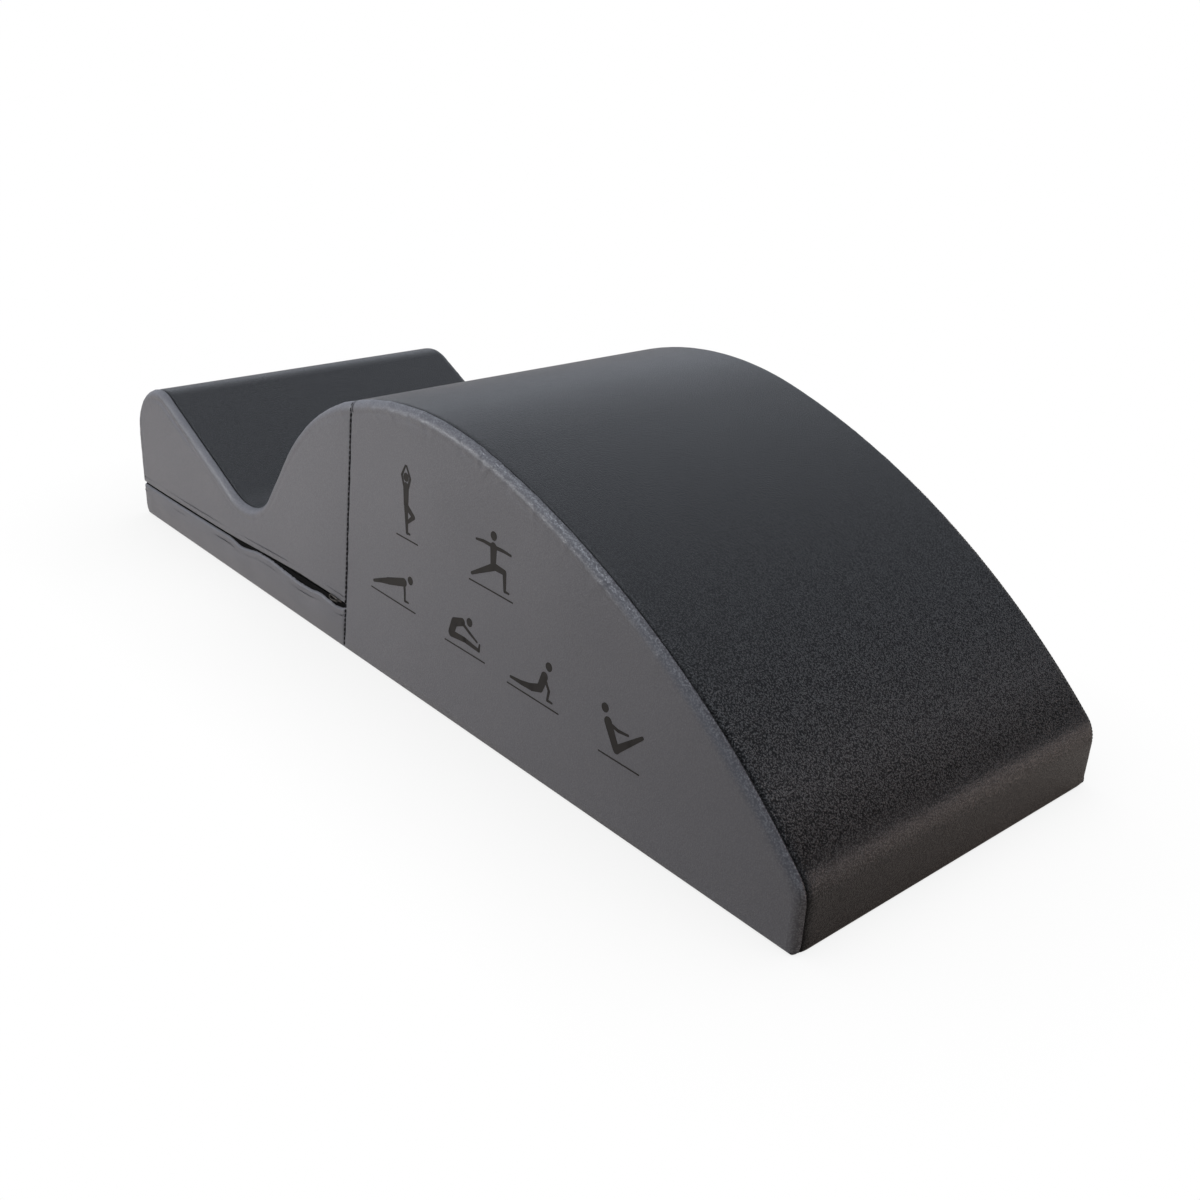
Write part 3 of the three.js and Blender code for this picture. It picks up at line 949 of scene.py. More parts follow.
@dataclass(frozen=True)
class SeamForms:
    """Forms along the seams and hems, in millimetres and turns."""

    # A panel's distance from its seam, the cloth's thickness and the stitches' pitch
    gap: float = 0.25
    shell: float = 1.8
    stitch: float = 2.8
    hole: Bump = Bump(-0.9, 1.2)
    hole_power: float = 1.5
    side_hole_share: float = 0.6
    # Depth and width of the black panel's dip into the long seam, at the crest and at the foot
    top_dip: tuple[float, float] = (1.2, 1.5)
    foot_dip: tuple[float, float] = (2.3, 3.6)
    top_dip_power: float = 1.6
    top_pucker: Bump = Bump(0.07, 14.0, power=1)
    top_pucker_waves: Ripple = Ripple(31, (14, 23, 37))
    # The grey panel beside the long seam, from the seam on: dip, rim, roll and crease
    side_dip: Bump = Bump(-1.2, 0.6, power=1.6)
    rim: Bump = Bump(0.3, 0.6, middle=1.2)
    roll: Bump = Bump(0.6, 5.5, middle=6.5, power=4)
    roll_waves: Ripple = Ripple(41, (33, 61, 95), swing=0.2, middle=0.8)
    crease: Bump = Bump(-1.0, 2.4)
    crease_middle: float = 13.5
    crease_sway: Ripple = Ripple(47, (85, 140), swing=1.2)
    crease_depth: float = 0.4
    crease_waves: Ripple = Ripple(43, (70, 130), swing=0.3, middle=0.7)
    # Along the body, the hump's crease is steady and deep
    hump: Bump = Bump(1.0, 42.0, middle=-385.0, power=4)
    hump_crease: float = 1.3
    pucker: Bump = Bump(0.14, 14.0, power=1)
    pucker_waves: Ripple = Ripple(53, (9, 15, 24))
    fold: Bump = Bump(1.0, 4.2)
    fold_lean: float = 0.7
    fold_reach: Bump = Bump(1.0, 9.0, middle=8.0)
    # Heights and places between which these forms fade, low on the face and towards the foot
    fade_z: tuple[float, float] = (20.0, 50.0)
    fade_x: tuple[float, float] = (430.0, 250.0)
    # The face's own unevenness, which starts beside the long seam
    undulation: Unevenness = Unevenness(61, 150.0, 0.4)
    undulation_start: float = 40.0
    upright_dip: Bump = Bump(-0.7, 1.1, power=1.6)
    upright_draw: Bump = Bump(-0.3, 9.0, power=1)
    upright_waves: Ripple = Ripple(67, (13, 21), swing=0.3, middle=1.0)
    strip_dip: Bump = Bump(-1.2, 1.3, power=1.6)
    strip_draw: Bump = Bump(-0.4, 9.0, power=1)
    # A hem swells over its fold, has a groove at its topstitch and turns in at its edge
    hem_swell: Bump = Bump(0.12, 3.0, middle=4.0)
    hem_groove: Bump = Bump(-0.12, 0.9, middle=6.8)
    hem_edge: Bump = Bump(-1.7, 0.8)
    black_hem_edge: Bump = Bump(-1.6, 1.5)
    base_edge: Bump = Bump(1.0, 2.0)
    # The black panel's painted seam shade: its width at the crest, what the foot and a stitch add
    top_shade: float = 0.92
    top_shade_width: tuple[float, float, float] = (0.7, 2.4, 0.35)
    top_shade_power: float = 1.5
    # The grey panel's painted seam shades, and the shares of them that are left between two
    # stitches
    long_shade: Bump = Bump(0.9, 0.55)
    long_shade_least: float = 0.35
    upright_shade: Bump = Bump(0.95, 1.15)
    upright_shade_least: float = 0.25
    # The deeper grain of the grey panel's edge, which is less behind the upright seam
    edge_grain: Bump = Bump(1.0, 9.0)
    edge_grain_x: tuple[float, float] = (-60.0, 60.0)
    edge_grain_least: float = 0.2
    # How far round the edge the long seams lie, and over which runs they get there: the near one
    # from the foot's bend on and at the corner, the far one after the hem and before the end
    foot_turn: float = math.radians(14.0)
    corner_turn: float = math.radians(50.0)
    near_moves: tuple[float, float] = (40.0, 12.0)
    far_turn: float = math.radians(48.0)
    far_moves: tuple[float, float] = (70.0, 8.0)


@dataclass
class BodySkin:
    """The outer face of the covered body, with its seams, rolls, puckers and creases."""

    outline: SideOutline
    seams: SeamForms

    CREST_X = 120.0
    FAR_FOLD_SHIFT = 11.0
    GREY_GRAIN = 0.22
    FLAT_SHARE = 0.999
    # The share of the foot bend's run from which the upright seam is searched, and the steps
    UPRIGHT_FROM = 0.3
    UPRIGHT_STEP = 0.25
    # Place along the body, height and slant of each fold
    FOLDS = (
        (-64, 0.3, 0.4), (-22, 0.5, 0.9), (6, 0.6, 0.7), (31, -0.35, 0.8), (52, 0.5, 0.5),
        (78, 0.4, -0.3), (104, -0.45, 0.6), (128, 0.6, 0.4), (149, 0.7, -0.5), (166, -0.5, 0.2),
        (193, 0.45, 0.5), (232, 0.35, 0.3), (276, 0.3, -0.4), (330, 0.25, 0.3),
    )
    # The black grain is flat where the cloth is stretched over the crest: its depth at the rear,
    # at four places from the crest to the foot's bend, and at two runs from the end
    GRAIN_SHARES = (0, 0.5, 0.75, 1)
    GRAIN_ENDS = (-75, -58)
    GRAIN = (0.2, 0.1, 0.15, 0.5, 0.9, 0.95, 0.5)
    # Runs from the end, and the painted shade of the darker band over the foot's bend
    BEND_SHADE = ((-112, -74, -64, -57), (0, 0.5, 0.42, 0))

    def __post_init__(self) -> None:
        """Looks up the runs of the places that its forms follow."""
        self.sizes = self.outline.sizes
        self.end = self.outline.length
        self.crest = self.outline.run_at_top(self.CREST_X)
        self.foot_bend = self.outline.run_at_top(self.sizes.foot_bend_x)
        self.hem = self.outline.run_at_rear(self.sizes.slit_rear_height)
        self.upright_run = self._find_upright_run()
        span = self.foot_bend - self.crest
        places = [self.crest + share * span for share in self.GRAIN_SHARES]
        self.grain_runs = (0, *places, *(self.end + run for run in self.GRAIN_ENDS))

    def _find_upright_run(self) -> float:
        """Finds where the upright seam, carried on round the edge, meets the long seam.

        Returns:
            The run of that place.
        """
        s = self.sizes
        start = self.foot_bend * self.UPRIGHT_FROM
        run = np.arange(start, self.foot_bend, self.UPRIGHT_STEP)
        x, z, nx, nz = self.outline.at(run)
        off = x - s.edge_radius * nx - s.seam_x(z - s.edge_radius * nz)
        on_top = np.abs(x - s.seam_top_x) < 3 * s.edge_radius
        return float(run[on_top][np.abs(off[on_top]).argmin()])

    def edge_turn(self, run: Values, side: Side) -> Values:
        """Finds how far round the edge the long seam lies.

        The cover sits a little towards the far side, so the near seam lies on the top and the
        far one round the edge.

        Args:
            run: Runs along the outline.
            side: Which side.

        Returns:
            Turns in radians.
        """
        k, end = self.seams, self.end
        if side is Side.FAR:
            rise, fall = k.far_moves
            turn = k.far_turn * eased(ramp(run, self.hem, self.hem + rise))
            return turn * ramp(run, end, end - fall)
        stop, corner = k.near_moves
        turn = k.foot_turn * eased(ramp(run, self.foot_bend, end - stop))
        return turn + (k.corner_turn - turn) * ramp(run, end - corner, end) ** 2

    def place(
        self, run: Values, turn: Values, side: Side, lift: Values = 0.0, y: Array | None = None
    ) -> Array:
        """Places points on the skin.

        Args:
            run: Runs along the outline.
            turn: How far round the edge, from none on the top to a right angle on the side.
            side: Which side.
            lift: Height over the plain face.
            y: Distance from the middle, for points that aren't on the edge's rounding.

        Returns:
            Points in millimetres, with a last axis of three.
        """
        s = self.sizes
        x, z, nx, nz = self.outline.at(run)
        fall = s.edge_radius * (1 - np.cos(turn))
        fall_z = np.where(nz < 0, fall * s.base_edge_share, fall)
        out = s.edge_radius * np.sin(turn)
        return stacked(
            x - fall * nx + lift * nx * np.cos(turn),
            side.value * ((s.seam_y if y is None else y) + out + lift * np.sin(turn)),
            z - fall_z * nz + lift * nz * np.cos(turn),
        )

    def stitched(self, run: Array, least: float = 0.0) -> Array:
        """How far a seam is pulled in, from the least between two stitches to one at each."""
        return least + (1 - least) * (0.5 + 0.5 * np.cos(2 * math.pi * run / self.seams.stitch))

    def holes(self, run: Array, gap: Array) -> Array:
        """The small dips where the thread goes in at each stitch."""
        return self.stitched(run) ** self.seams.hole_power * self.seams.hole(gap)

    def top_lift(self, run: Array, gap: Array, side: Side) -> Array:
        """Finds the lift of the black top panel near a long seam.

        Args:
            run: Runs along the outline.
            gap: Distances from the seam.
            side: Which side.

        Returns:
            Lifts in millimetres.
        """
        k = self.seams
        low = ramp(run, self.crest, self.foot_bend)
        depth, width = (top + (foot - top) * low for top, foot in zip(k.top_dip, k.foot_dip))
        dip = -depth * np.exp(-((gap / width) ** k.top_dip_power))
        pucker = k.top_pucker(gap) * k.top_pucker_waves(run, side.value)
        return dip + self.holes(run, gap) + pucker

    def side_lift(
        self, run: Array, gap: Array, x: Array, z: Array, upright: Array, side: Side
    ) -> Array:
        """Finds the lift of a grey side panel.

        Args:
            run: The nearest runs along the outline.
            gap: Distances from the long seam, over the skin.
            x: Places along the body.
            z: Heights.
            upright: Distances from the upright seam.
            side: Which side.

        Returns:
            Lifts in millimetres.
        """
        k, sign = self.seams, side.value
        edge = k.side_dip(gap) + k.rim(gap) + k.side_hole_share * self.holes(run, gap)
        hump = k.hump(x)
        depth = k.crease_depth * k.crease_waves(run, sign)
        depth = depth * (1 - hump) + k.hump_crease * hump
        middle = k.crease_middle + k.crease_sway(run, sign) * (1 - hump)
        form = k.roll(gap) * k.roll_waves(run, sign)
        form = form + depth * k.crease(gap - middle) + k.pucker(gap) * k.pucker_waves(run, sign)
        form = form + self.folds(run, gap, side)
        face = k.undulation(x, z, sign) * ramp(gap, 0, k.undulation_start)
        seam = k.upright_dip(upright) + k.side_hole_share * self.holes(z, upright)
        seam = seam + k.upright_draw(upright) * k.upright_waves(z, sign)
        return edge + ramp(z, *k.fade_z) * ramp(x, *k.fade_x) * form + face + seam

    def folds(self, run: Array, gap: Array, side: Side) -> Array:
        """Draws the short slanted folds that cross the rolled edge near the crest.

        Args:
            run: Runs along the outline.
            gap: Distances from the long seam.
            side: Which side.

        Returns:
            Lifts in millimetres.
        """
        k = self.seams
        shift = self.FAR_FOLD_SHIFT * (side is Side.FAR)
        total = np.zeros(np.broadcast_shapes(run.shape, gap.shape))
        for x, height, slant in self.FOLDS:
            off = run - self.outline.run_at_top(x + shift) - slant * gap
            total += height * k.fold(off) * (1 - k.fold_lean * off / k.fold.width)
        return total * k.fold_reach(gap)

    def top_tags(self, run: Array, gap: Array) -> tuple[Array, Array]:
        """Finds the painted shade of a black panel's seams and foot bend, and its grain depth.

        Args:
            run: Runs along the outline.
            gap: Distances from the seam.

        Returns:
            The two tags.
        """
        k, low = self.seams, ramp(run, self.crest, self.foot_bend)
        thin, wider, at_stitch = k.top_shade_width
        width = thin + wider * low**k.top_shade_power + at_stitch * self.stitched(run)
        shade = k.top_shade * np.exp(-((gap / width) ** 2))
        # Painted shade: a darker band just before the foot's bend
        bend_shade = np.interp(run - self.end, *self.BEND_SHADE)
        return np.maximum(shade, bend_shade), np.interp(run, self.grain_runs, self.GRAIN)

    def side_tags(self, run: Array, gap: Array, x: Array, z: Array) -> tuple[Array, Array]:
        """Finds the painted seam shade and grain depth of a grey panel.

        Args:
            run: The nearest runs along the outline.
            gap: Distances from the long seam.
            x: Places along the body.
            z: Heights.

        Returns:
            The two tags.
        """
        k = self.seams
        long_seam = k.long_shade(gap) * self.stitched(run, k.long_shade_least)
        cross = k.upright_shade(x - self.sizes.seam_x(z))
        cross = cross * self.stitched(z, k.upright_shade_least)
        band = k.edge_grain(gap) * np.maximum(ramp(x, *k.edge_grain_x), k.edge_grain_least)
        return np.maximum(long_seam, cross), self.GREY_GRAIN + (1 - self.GREY_GRAIN) * band

    def face(self, x: Array, z: Array, side: Side) -> tuple[Array, Array, Array]:
        """Finds the lift and tags of the flat side face.

        Args:
            x: Places along the body.
            z: Heights.
            side: Which side.

        Returns:
            Lifts in millimetres, painted seam shades and grain depths.
        """
        s = self.sizes
        run, far = self.outline.nearest(x, z)
        gap = np.maximum(far, s.edge_radius * self.FLAT_SHARE) + (RIGHT - 1) * s.edge_radius
        lift = self.side_lift(run, gap, x, z, np.abs(x - s.seam_x(z)), side)
        return lift, *self.side_tags(run, gap, x, z)


# Sewn pieces


@dataclass
class OnSkin:
    """Something that lies on the body's skin."""

    skin: BodySkin
    finishes: Materials

    def __post_init__(self) -> None:
        """Keeps the skin's parts at hand."""
        self.outline, self.sizes, self.seams = self.skin.outline, self.skin.sizes, self.skin.seams


class Cover(OnSkin):
    """The sewn cover: top panel, side panels, lower strips and base."""

    # How wide a column is along the outline
    COLUMN = 0.8
    # Distances of a black panel's rows from its end at a seam
    EDGE_GAPS = (0.0, 0.4, 0.9, 1.6, 2.5, 3.7, 5.2, 7.0, 9.2, 12.0, 16.0, 21.0, 28.0, 38.0, 50.0)
    # A side panel's rows: shares of the way round the edge, then distances down the face
    ROUND_SHARES = (
        0.0, 0.015, 0.035, 0.06, 0.09, 0.13, 0.18, 0.25, 0.33, 0.43, 0.55, 0.68, 0.84, 1.0,
    )
    FACE_EARLY = (1.2, 2.6, 4.2, 6.0, 8.0, 10.5, 13.5, 17.0, 21.0, 26.0, 32.0)
    # Rows over a hem, what share of a column they may take, and where the others end
    HEM_ROWS = (6.0, 4.0, 2.8, 1.9, 1.2, 0.6, 0.0)
    HEM_SHARE = 0.25
    BEFORE_HEM = 0.999
    # Distances of a lower strip's rows from its hem
    STRIP_ROWS = (
        0, 0.5, 1.1, 1.9, 2.9, 4.2, 6.0, 8.2, 11.0, 14.5, 19.0, 24.0, 29.0, 34.0, 36.8, 40.0,
    )
    STRIP_COLUMNS = 420
    CORNER_COLUMNS = 11
    MIDDLE_COLUMNS = 7
    # Where a black panel's back has its rows, as shares of the way out to the seam
    BACK_SHARES = (1.0, 0.66, 0.33)
    # The base's columns and rows, every how many rows its back has one, and its edge's rows
    BASE_GRID = (241, 85)
    BASE_BACK_STEP = 6
    BASE_EDGE_ROWS = 6
    LEAST_WAY = 1e-4
    NECK_FOOT_X = -430.0
    # Places along the body and heights of the hems' edges
    HEMS = {
        Hem.UPPER: (
            (-475, 35.3), (-400, 35.9), (-340, 36.7), (-265, 39.2), (-195, 42.6),
            (-140, 45.6), (-108, 45.7), (-85, 45.4), (-62, 44.6),
        ),
        Hem.LOWER: (
            (-475, 33.2), (-408, 33.5), (-340, 34.6), (-276, 36.2), (-256, 33.0), (-240, 35.4),
            (-222, 39.2), (-196, 39.8), (-168, 37.6), (-142, 36.0), (-122, 36.8), (-107, 39.4),
            (-94, 38.2), (-79, 36.8), (-68, 38.6), (-62, 41.6),
        ),
    }
    HEM_SAMPLES = 400
    HEM_BLUR = 13
    # The lower hem is ragged between its swollen place and the upright seam
    RAGGED = Ripple(83, (5.5, 8, 13), swing=0.45)
    RAGGED_FROM = (-262, -242)
    RAGGED_TO = (-66, -74)
    # The lower strip's folds run along it, and it bulges between its edges
    STRIP_FOLDS = Unevenness(71, 70.0, 0.5)
    STRIP_STRETCH = 2.2
    STRIP_FADE_TOP = (0, 8)
    STRIP_FADE_BASE = (0, 10)
    STRIP_FADE_REAR = (0, 0.03)
    STRIP_BULGE = (1.1, 1.6)
    # How far down the strip its rows follow the hem, and how quickly they stop
    STRIP_FOLLOW = (0.7, 0)
    STRIP_FOLLOW_POWER = 1.5

    def build(self) -> None:
        """Builds every panel."""
        k = self.seams
        upper, lower = (self.hem_run(hem) for hem in Hem)
        run = self._columns(upper, self.outline.length - k.gap)
        self._black_panel("top_panel", "top_panel", run, upper, 0.95)
        self._black_panel("rear_strip", "rear_lower_strip", self._columns(k.gap, lower), lower, 0.9)
        self._base_panel()
        for side in Side:
            self._arc_side(side)
            self._neck_side(side)
            self._lower_strip(side)

    def hem_z(self, hem: Hem, x: Values) -> Values:
        """Finds the height of a hem's edge along the slit.

        Args:
            hem: Which hem.
            x: Places along the body.

        Returns:
            Heights in millimetres.
        """
        places, heights = np.array(self.HEMS[hem], dtype=float).T
        fine = np.linspace(places[0], places[-1], self.HEM_SAMPLES)
        kernel = np.hanning(self.HEM_BLUR)
        rough = np.pad(np.interp(fine, places, heights), self.HEM_BLUR // 2, mode="edge")
        edge = np.convolve(rough, kernel / kernel.sum(), mode="valid")
        if hem is Hem.LOWER:
            ends = ramp(fine, *self.RAGGED_FROM), ramp(fine, *self.RAGGED_TO)
            edge = edge + self.RAGGED(fine) * ends[0] * ends[1]
        return np.interp(x, fine, edge)

    def hem_run(self, hem: Hem) -> float:
        """The run of a hem's edge on the rear end."""
        return self.outline.run_at_rear(float(self.hem_z(hem, -self.sizes.half_length)))

    def _columns(self, start: float, end: float) -> Array:
        """Runs of the columns between two runs."""
        return np.linspace(start, end, round((end - start) / self.COLUMN) + 1)

    def _sew(self, obj: Piece, finish: str, slot: str, node: str, fill: float) -> None:
        """Closes, finishes and mounts one wrapped panel in place of its CAD node."""
        finish_shell(obj, self.finishes[finish])
        mount(obj, slot, node, fill=fill)

    def _across(self, run: Array, far: Array, lift: Values, side: Side) -> Array:
        """Places points by their distance across the top, on over the edge's rounding.

        Args:
            run: Runs along the outline.
            far: Distances from the middle, over the skin.
            lift: Heights over the plain face.
            side: Which side.

        Returns:
            Points in millimetres.
        """
        s = self.sizes
        turn = np.clip((far - s.seam_y) / s.edge_radius, 0, RIGHT)
        return self.skin.place(run, turn, side, lift, np.minimum(far, s.seam_y))

    def _black_panel(self, word: str, node: str, run: Array, hem: float, fill: float) -> None:
        """Sews a black panel from seam to seam.

        Args:
            word: The piece's name without its ending.
            node: The CAD node that it stands for.
            run: The columns' runs.
            hem: The run of its end that is a hem of the slit.
            fill: How full it is.
        """
        s, k, run = self.sizes, self.seams, run[:, None]
        turned_in = k.black_hem_edge(run - hem)
        halves, inner = [], []
        for side in Side:
            reach = s.seam_y + s.edge_radius * self.skin.edge_turn(run, side)
            near = np.array(self.EDGE_GAPS) + k.gap
            middle = np.linspace(s.seam_y - near[-1], 0, self.MIDDLE_COLUMNS)[1:-1]
            far = np.hstack([reach - near, np.tile(middle, (run.size, 1))])
            lift = self.skin.top_lift(run, reach - far, side) + turned_in
            tags = self.skin.top_tags(run, reach - far)
            halves.append(tagged(self._across(run, far, lift, side), *tags))
            back = (reach - k.gap) * np.array(self.BACK_SHARES)
            inner.append(tagged(self._across(run, back, -k.shell, side)))
        middle = np.zeros_like(run)
        tags = self.skin.top_tags(run, middle + s.seam_y)
        ridge = tagged(self._across(run, middle, turned_in, Side.NEAR), *tags)
        under = tagged(self._across(run, middle, -k.shell, Side.NEAR))
        outer = [halves[0], ridge, halves[1][:, ::-1]]
        shell = [inner[1], under, inner[0][:, ::-1], halves[0][:, :1]]
        obj = cloth_blank(f"{word}_cover", np.concatenate(outer + shell, axis=1))
        self._sew(obj, "black_coated_leather", "black_leather", node, fill)

    def _base_panel(self) -> None:
        """Sews the flat base of grip cloth, with its edges turned up into the seams."""
        s, k = self.sizes, self.seams
        reach, (columns, rows) = s.seam_y - k.gap, self.BASE_GRID
        x = np.linspace(s.rear_seam_x + k.gap, s.foot_seam_x - k.gap, columns)[:, None]
        y = np.linspace(-reach, reach, rows)
        edge = np.minimum(np.minimum(x - x[0], x[-1] - x), reach - np.abs(y))
        low = stacked(x, y, k.base_edge(edge))
        high = low[:, :: -self.BASE_BACK_STEP].copy()
        high[..., 2] = k.shell
        obj = cloth_blank("base_panel_cover", np.concatenate([low, high, low[:, :1]], axis=1))
        self._sew(obj, "black_grip_cloth", "base_cloth", "base_panel", 0.9)

    def _side_panel(
        self, word: str, side: Side, run: Array, foot: Array, hem: bool, late: int
    ) -> None:
        """Sews a side panel in columns from the long seam down to its lower edge.

        Args:
            word: The panel's name.
            side: Which side.
            run: The columns' runs along the outline.
            foot: The lower ends on the face, as x and z.
            hem: Whether they are a hem of the slit. If not, they go on round the base edge.
            late: How many even rows the lower part gets.
        """
        s, k, sign, run = self.sizes, self.seams, side.value, run[:, None]
        foot_x, foot_z = foot[:, :1], foot[:, 1:]
        first = self.skin.edge_turn(run, side)
        turn = first + (RIGHT - first) * np.array(self.ROUND_SHARES)
        gap = s.edge_radius * (turn - first) + k.gap
        x, z, _, _ = self.outline.at(run)
        lift = self.skin.side_lift(run, gap, x, z, np.abs(run - self.skin.upright_run), side)
        if hem:
            lift = lift + self._hem_lift(z - foot_z)
        tags = self.skin.side_tags(run, gap, x, z)
        rounding = tagged(self.skin.place(run, turn, side, lift), *tags)

        start = self.skin.place(run, RIGHT, side)[:, 0, [0, 2]]
        way = foot - start
        total = np.maximum(np.hypot(*way.T), self.LEAST_WAY)
        steps = spread(total, self.FACE_EARLY, late) / total[:, None]
        if hem:
            steps = self._tighten(steps, total)
        x, z = np.moveaxis(start[:, None] + way[:, None] * steps[..., None], -1, 0)
        lift, *tags = self.skin.face(x, z, side)
        if hem:
            lift = lift + self._hem_lift(z - foot_z)
        rows = [rounding, tagged(stacked(x, sign * (s.half_width + lift), z), *tags)]
        if not hem:
            rows.append(tagged(self._base_rows(foot_x, side), 0.0, self.skin.GREY_GRAIN))

        low = stacked(foot_x, sign * (s.half_width - k.shell), foot_z)
        turn = np.hstack([np.tile((RIGHT, RIGHT / 2), (run.size, 1)), first])
        inner = self.skin.place(run, turn, side, -k.shell)
        rows += [tagged(low), tagged(inner), rounding[:, :1]]
        obj = cloth_blank(f"{side.word}_{word}_side_cover", np.concatenate(rows, axis=1))
        node = f"{side.word}_{word}_side"
        self._sew(obj, "grey_coated_leather", "grey_leather", node, 0.95)

    def _tighten(self, steps: Array, total: Array) -> Array:
        """Adds rows close to a hem, where the panel turns in.

        Args:
            steps: The rows' shares of the way down.
            total: The whole way of each column.

        Returns:
            The shares with those of the added rows.
        """
        room = np.minimum(1.0, total * self.HEM_SHARE / self.HEM_ROWS[0]) / total
        last = 1 - np.array(self.HEM_ROWS) * room[:, None]
        body = steps * last[:, :1] * self.BEFORE_HEM
        return np.hstack([body, np.maximum(last, body[:, -1:])])

    def _hem_lift(self, height: Array) -> Array:
        """A hem's own form by the height over its edge."""
        up, k = np.maximum(height, 0), self.seams
        return k.hem_swell(up) + k.hem_groove(up) + k.hem_edge(up)

    def _base_rows(self, x: Array, side: Side) -> Array:
        """Lays rows round the base edge, from the side face to the base seam.

        Args:
            x: The columns' places along the body, as a column.
            side: Which side.

        Returns:
            Points in millimetres.
        """
        s = self.sizes
        turn = np.linspace(0, RIGHT, self.BASE_EDGE_ROWS)[1:]
        y = s.seam_y + s.edge_radius * np.cos(turn) + self.seams.gap * (turn / turn[-1])
        return stacked(x, side.value * y, s.base_fall * (1 - np.sin(turn)))

    def _arc_side(self, side: Side) -> None:
        """Sews the grey panel before the upright seam.

        Args:
            side: Which side.
        """
        s, k = self.sizes, self.seams
        run = self._columns(self.skin.upright_run + k.gap, self.outline.length - k.gap)
        x = self.outline.at(run)[0]
        bend = np.searchsorted(x, s.foot_bend_x)
        early = np.interp(x[:bend], [x[0], x[bend]], [s.seam_x(0.0) + k.gap, x[bend]])
        share = (run[bend:] - run[bend]) / (run[-1] - run[bend])
        foot_x = np.concatenate([early, x[bend] + (s.foot_seam_x - x[bend]) * share])
        self._side_panel("arc", side, run, stacked(foot_x, s.base_fall), hem=False, late=26)

    def _neck_side(self, side: Side) -> None:
        """Sews the grey panel behind the upright seam, above the slit.

        Args:
            side: Which side.
        """
        s, k, foot = self.sizes, self.seams, self.NECK_FOOT_X
        start, rear = self.hem_run(Hem.UPPER), self.outline.run_at_top(foot)
        run = self._columns(start, self.skin.upright_run - k.gap)
        x = self.outline.at(run)[0]
        early = np.interp(run, [start, rear], [s.edge_radius - s.half_length, foot])
        late = np.interp(x, [foot, x[-1]], [foot, s.seam_x(s.slit_seam_height) - k.gap])
        foot_x = np.where(run < rear, early, late)
        ends = stacked(foot_x, self.hem_z(Hem.UPPER, foot_x))
        self._side_panel("neck", side, run, ends, hem=True, late=22)

    def _lower_strip(self, side: Side) -> None:
        """Sews the grey strip under the slit, round the rear corner.

        Args:
            side: Which side.
        """
        s, k, sign = self.sizes, self.seams, side.value
        down = np.array(self.STRIP_ROWS) / self.STRIP_ROWS[-1]
        top_run = self.hem_run(Hem.LOWER)
        run = top_run * (1 - down)
        turn = np.linspace(0, RIGHT, self.CORNER_COLUMNS)[:, None]
        lift = k.side_dip(s.edge_radius * turn + k.gap) + self._hem_lift(top_run - run)
        corner = self.skin.place(run, turn, side, lift)
        inner = self.skin.place(run[[-1, 0]], turn, side, -k.shell)
        corner = np.concatenate([corner, inner, corner[:, :1]], axis=1)

        rear_x, _, rear_z = self.skin.place(run, RIGHT, side).T
        on = np.linspace(0, 1, self.STRIP_COLUMNS)[:, None]
        seam_top = self.HEMS[Hem.LOWER][-1][1]
        seam_z = seam_top + (s.base_fall - seam_top) * down
        x = rear_x * (1 - on) + (s.seam_x(seam_z) - k.gap) * on
        z = rear_z * (1 - on) + seam_z * on
        follow = ramp(down, *self.STRIP_FOLLOW) ** self.STRIP_FOLLOW_POWER
        z = z + (self.hem_z(Hem.LOWER, x) - z[:, :1]) * follow
        below = z[:, :1] - z
        fold = self.STRIP_FOLDS(x, z * self.STRIP_STRETCH, sign)
        fold = fold * ramp(below, *self.STRIP_FADE_TOP) * ramp(z, *self.STRIP_FADE_BASE)
        height, power = self.STRIP_BULGE
        bulge = height * np.sin(math.pi * np.clip(z / np.maximum(z[:, :1], 1), 0, 1)) ** power
        upright = np.abs(x - s.seam_x(z))
        lift = self._hem_lift(below) + (fold + bulge) * ramp(on, *self.STRIP_FADE_REAR)
        lift = lift + k.strip_dip(upright) + k.strip_draw(upright)
        face = stacked(x, sign * (s.half_width + lift), z)
        back = face[:, [-1, 0]]
        back[..., 1] = sign * (s.half_width - k.shell)
        face = [face, self._base_rows(face[:, -1:, 0], side), back, face[:, :1]]
        blanks = [
            cloth_blank("strip face", np.concatenate(face, axis=1)),
            cloth_blank("strip corner", corner),
        ]
        obj, node = join(f"{side.word}_strip_cover", blanks), f"{side.word}_lower_strip"
        self._sew(obj, "grey_coated_leather", "grey_leather", node, 0.85)


class RearWrap:
    """The way round the rear end in plan, from the near upright seam to the far one."""

    def __init__(self, sizes: BodySizes) -> None:
        """Works out the way's lengths.

        Args:
            sizes: The body's sizes.
        """
        self.sizes = sizes
        self.start = float(sizes.seam_x(sizes.slit_seam_height)) - 1.0
        self.straight = self.start + sizes.half_length - sizes.edge_radius
        self.corner = RIGHT * sizes.edge_radius
        self.length = 2 * (self.straight + self.corner + sizes.seam_y)

    def at(self, step: float, ends: float, depth: float) -> tuple[Array, Array, Array]:
        """Looks up places along the way.

        Args:
            step: How far apart they are.
            ends: How far they stay from both ends.
            depth: How deep under the face.

        Returns:
            x, y and the way out with three parts.
        """
        s, half = self.sizes, self.length / 2
        along = np.arange(ends, self.length - ends, step)
        side = np.where(along < half, -1.0, 1.0)
        back = half - np.abs(along - half)
        turn = np.clip((back - self.straight) / s.edge_radius, 0, RIGHT)
        past = np.maximum(back - self.straight - self.corner, 0)
        out = stacked(-np.sin(turn), side * np.cos(turn), 0.0)
        x = np.where(back < self.straight, self.start - back, s.edge_radius - s.half_length)
        x = x + (s.edge_radius - depth) * out[:, 0]
        return x, side * (s.seam_y - past) + (s.edge_radius - depth) * out[:, 1], out


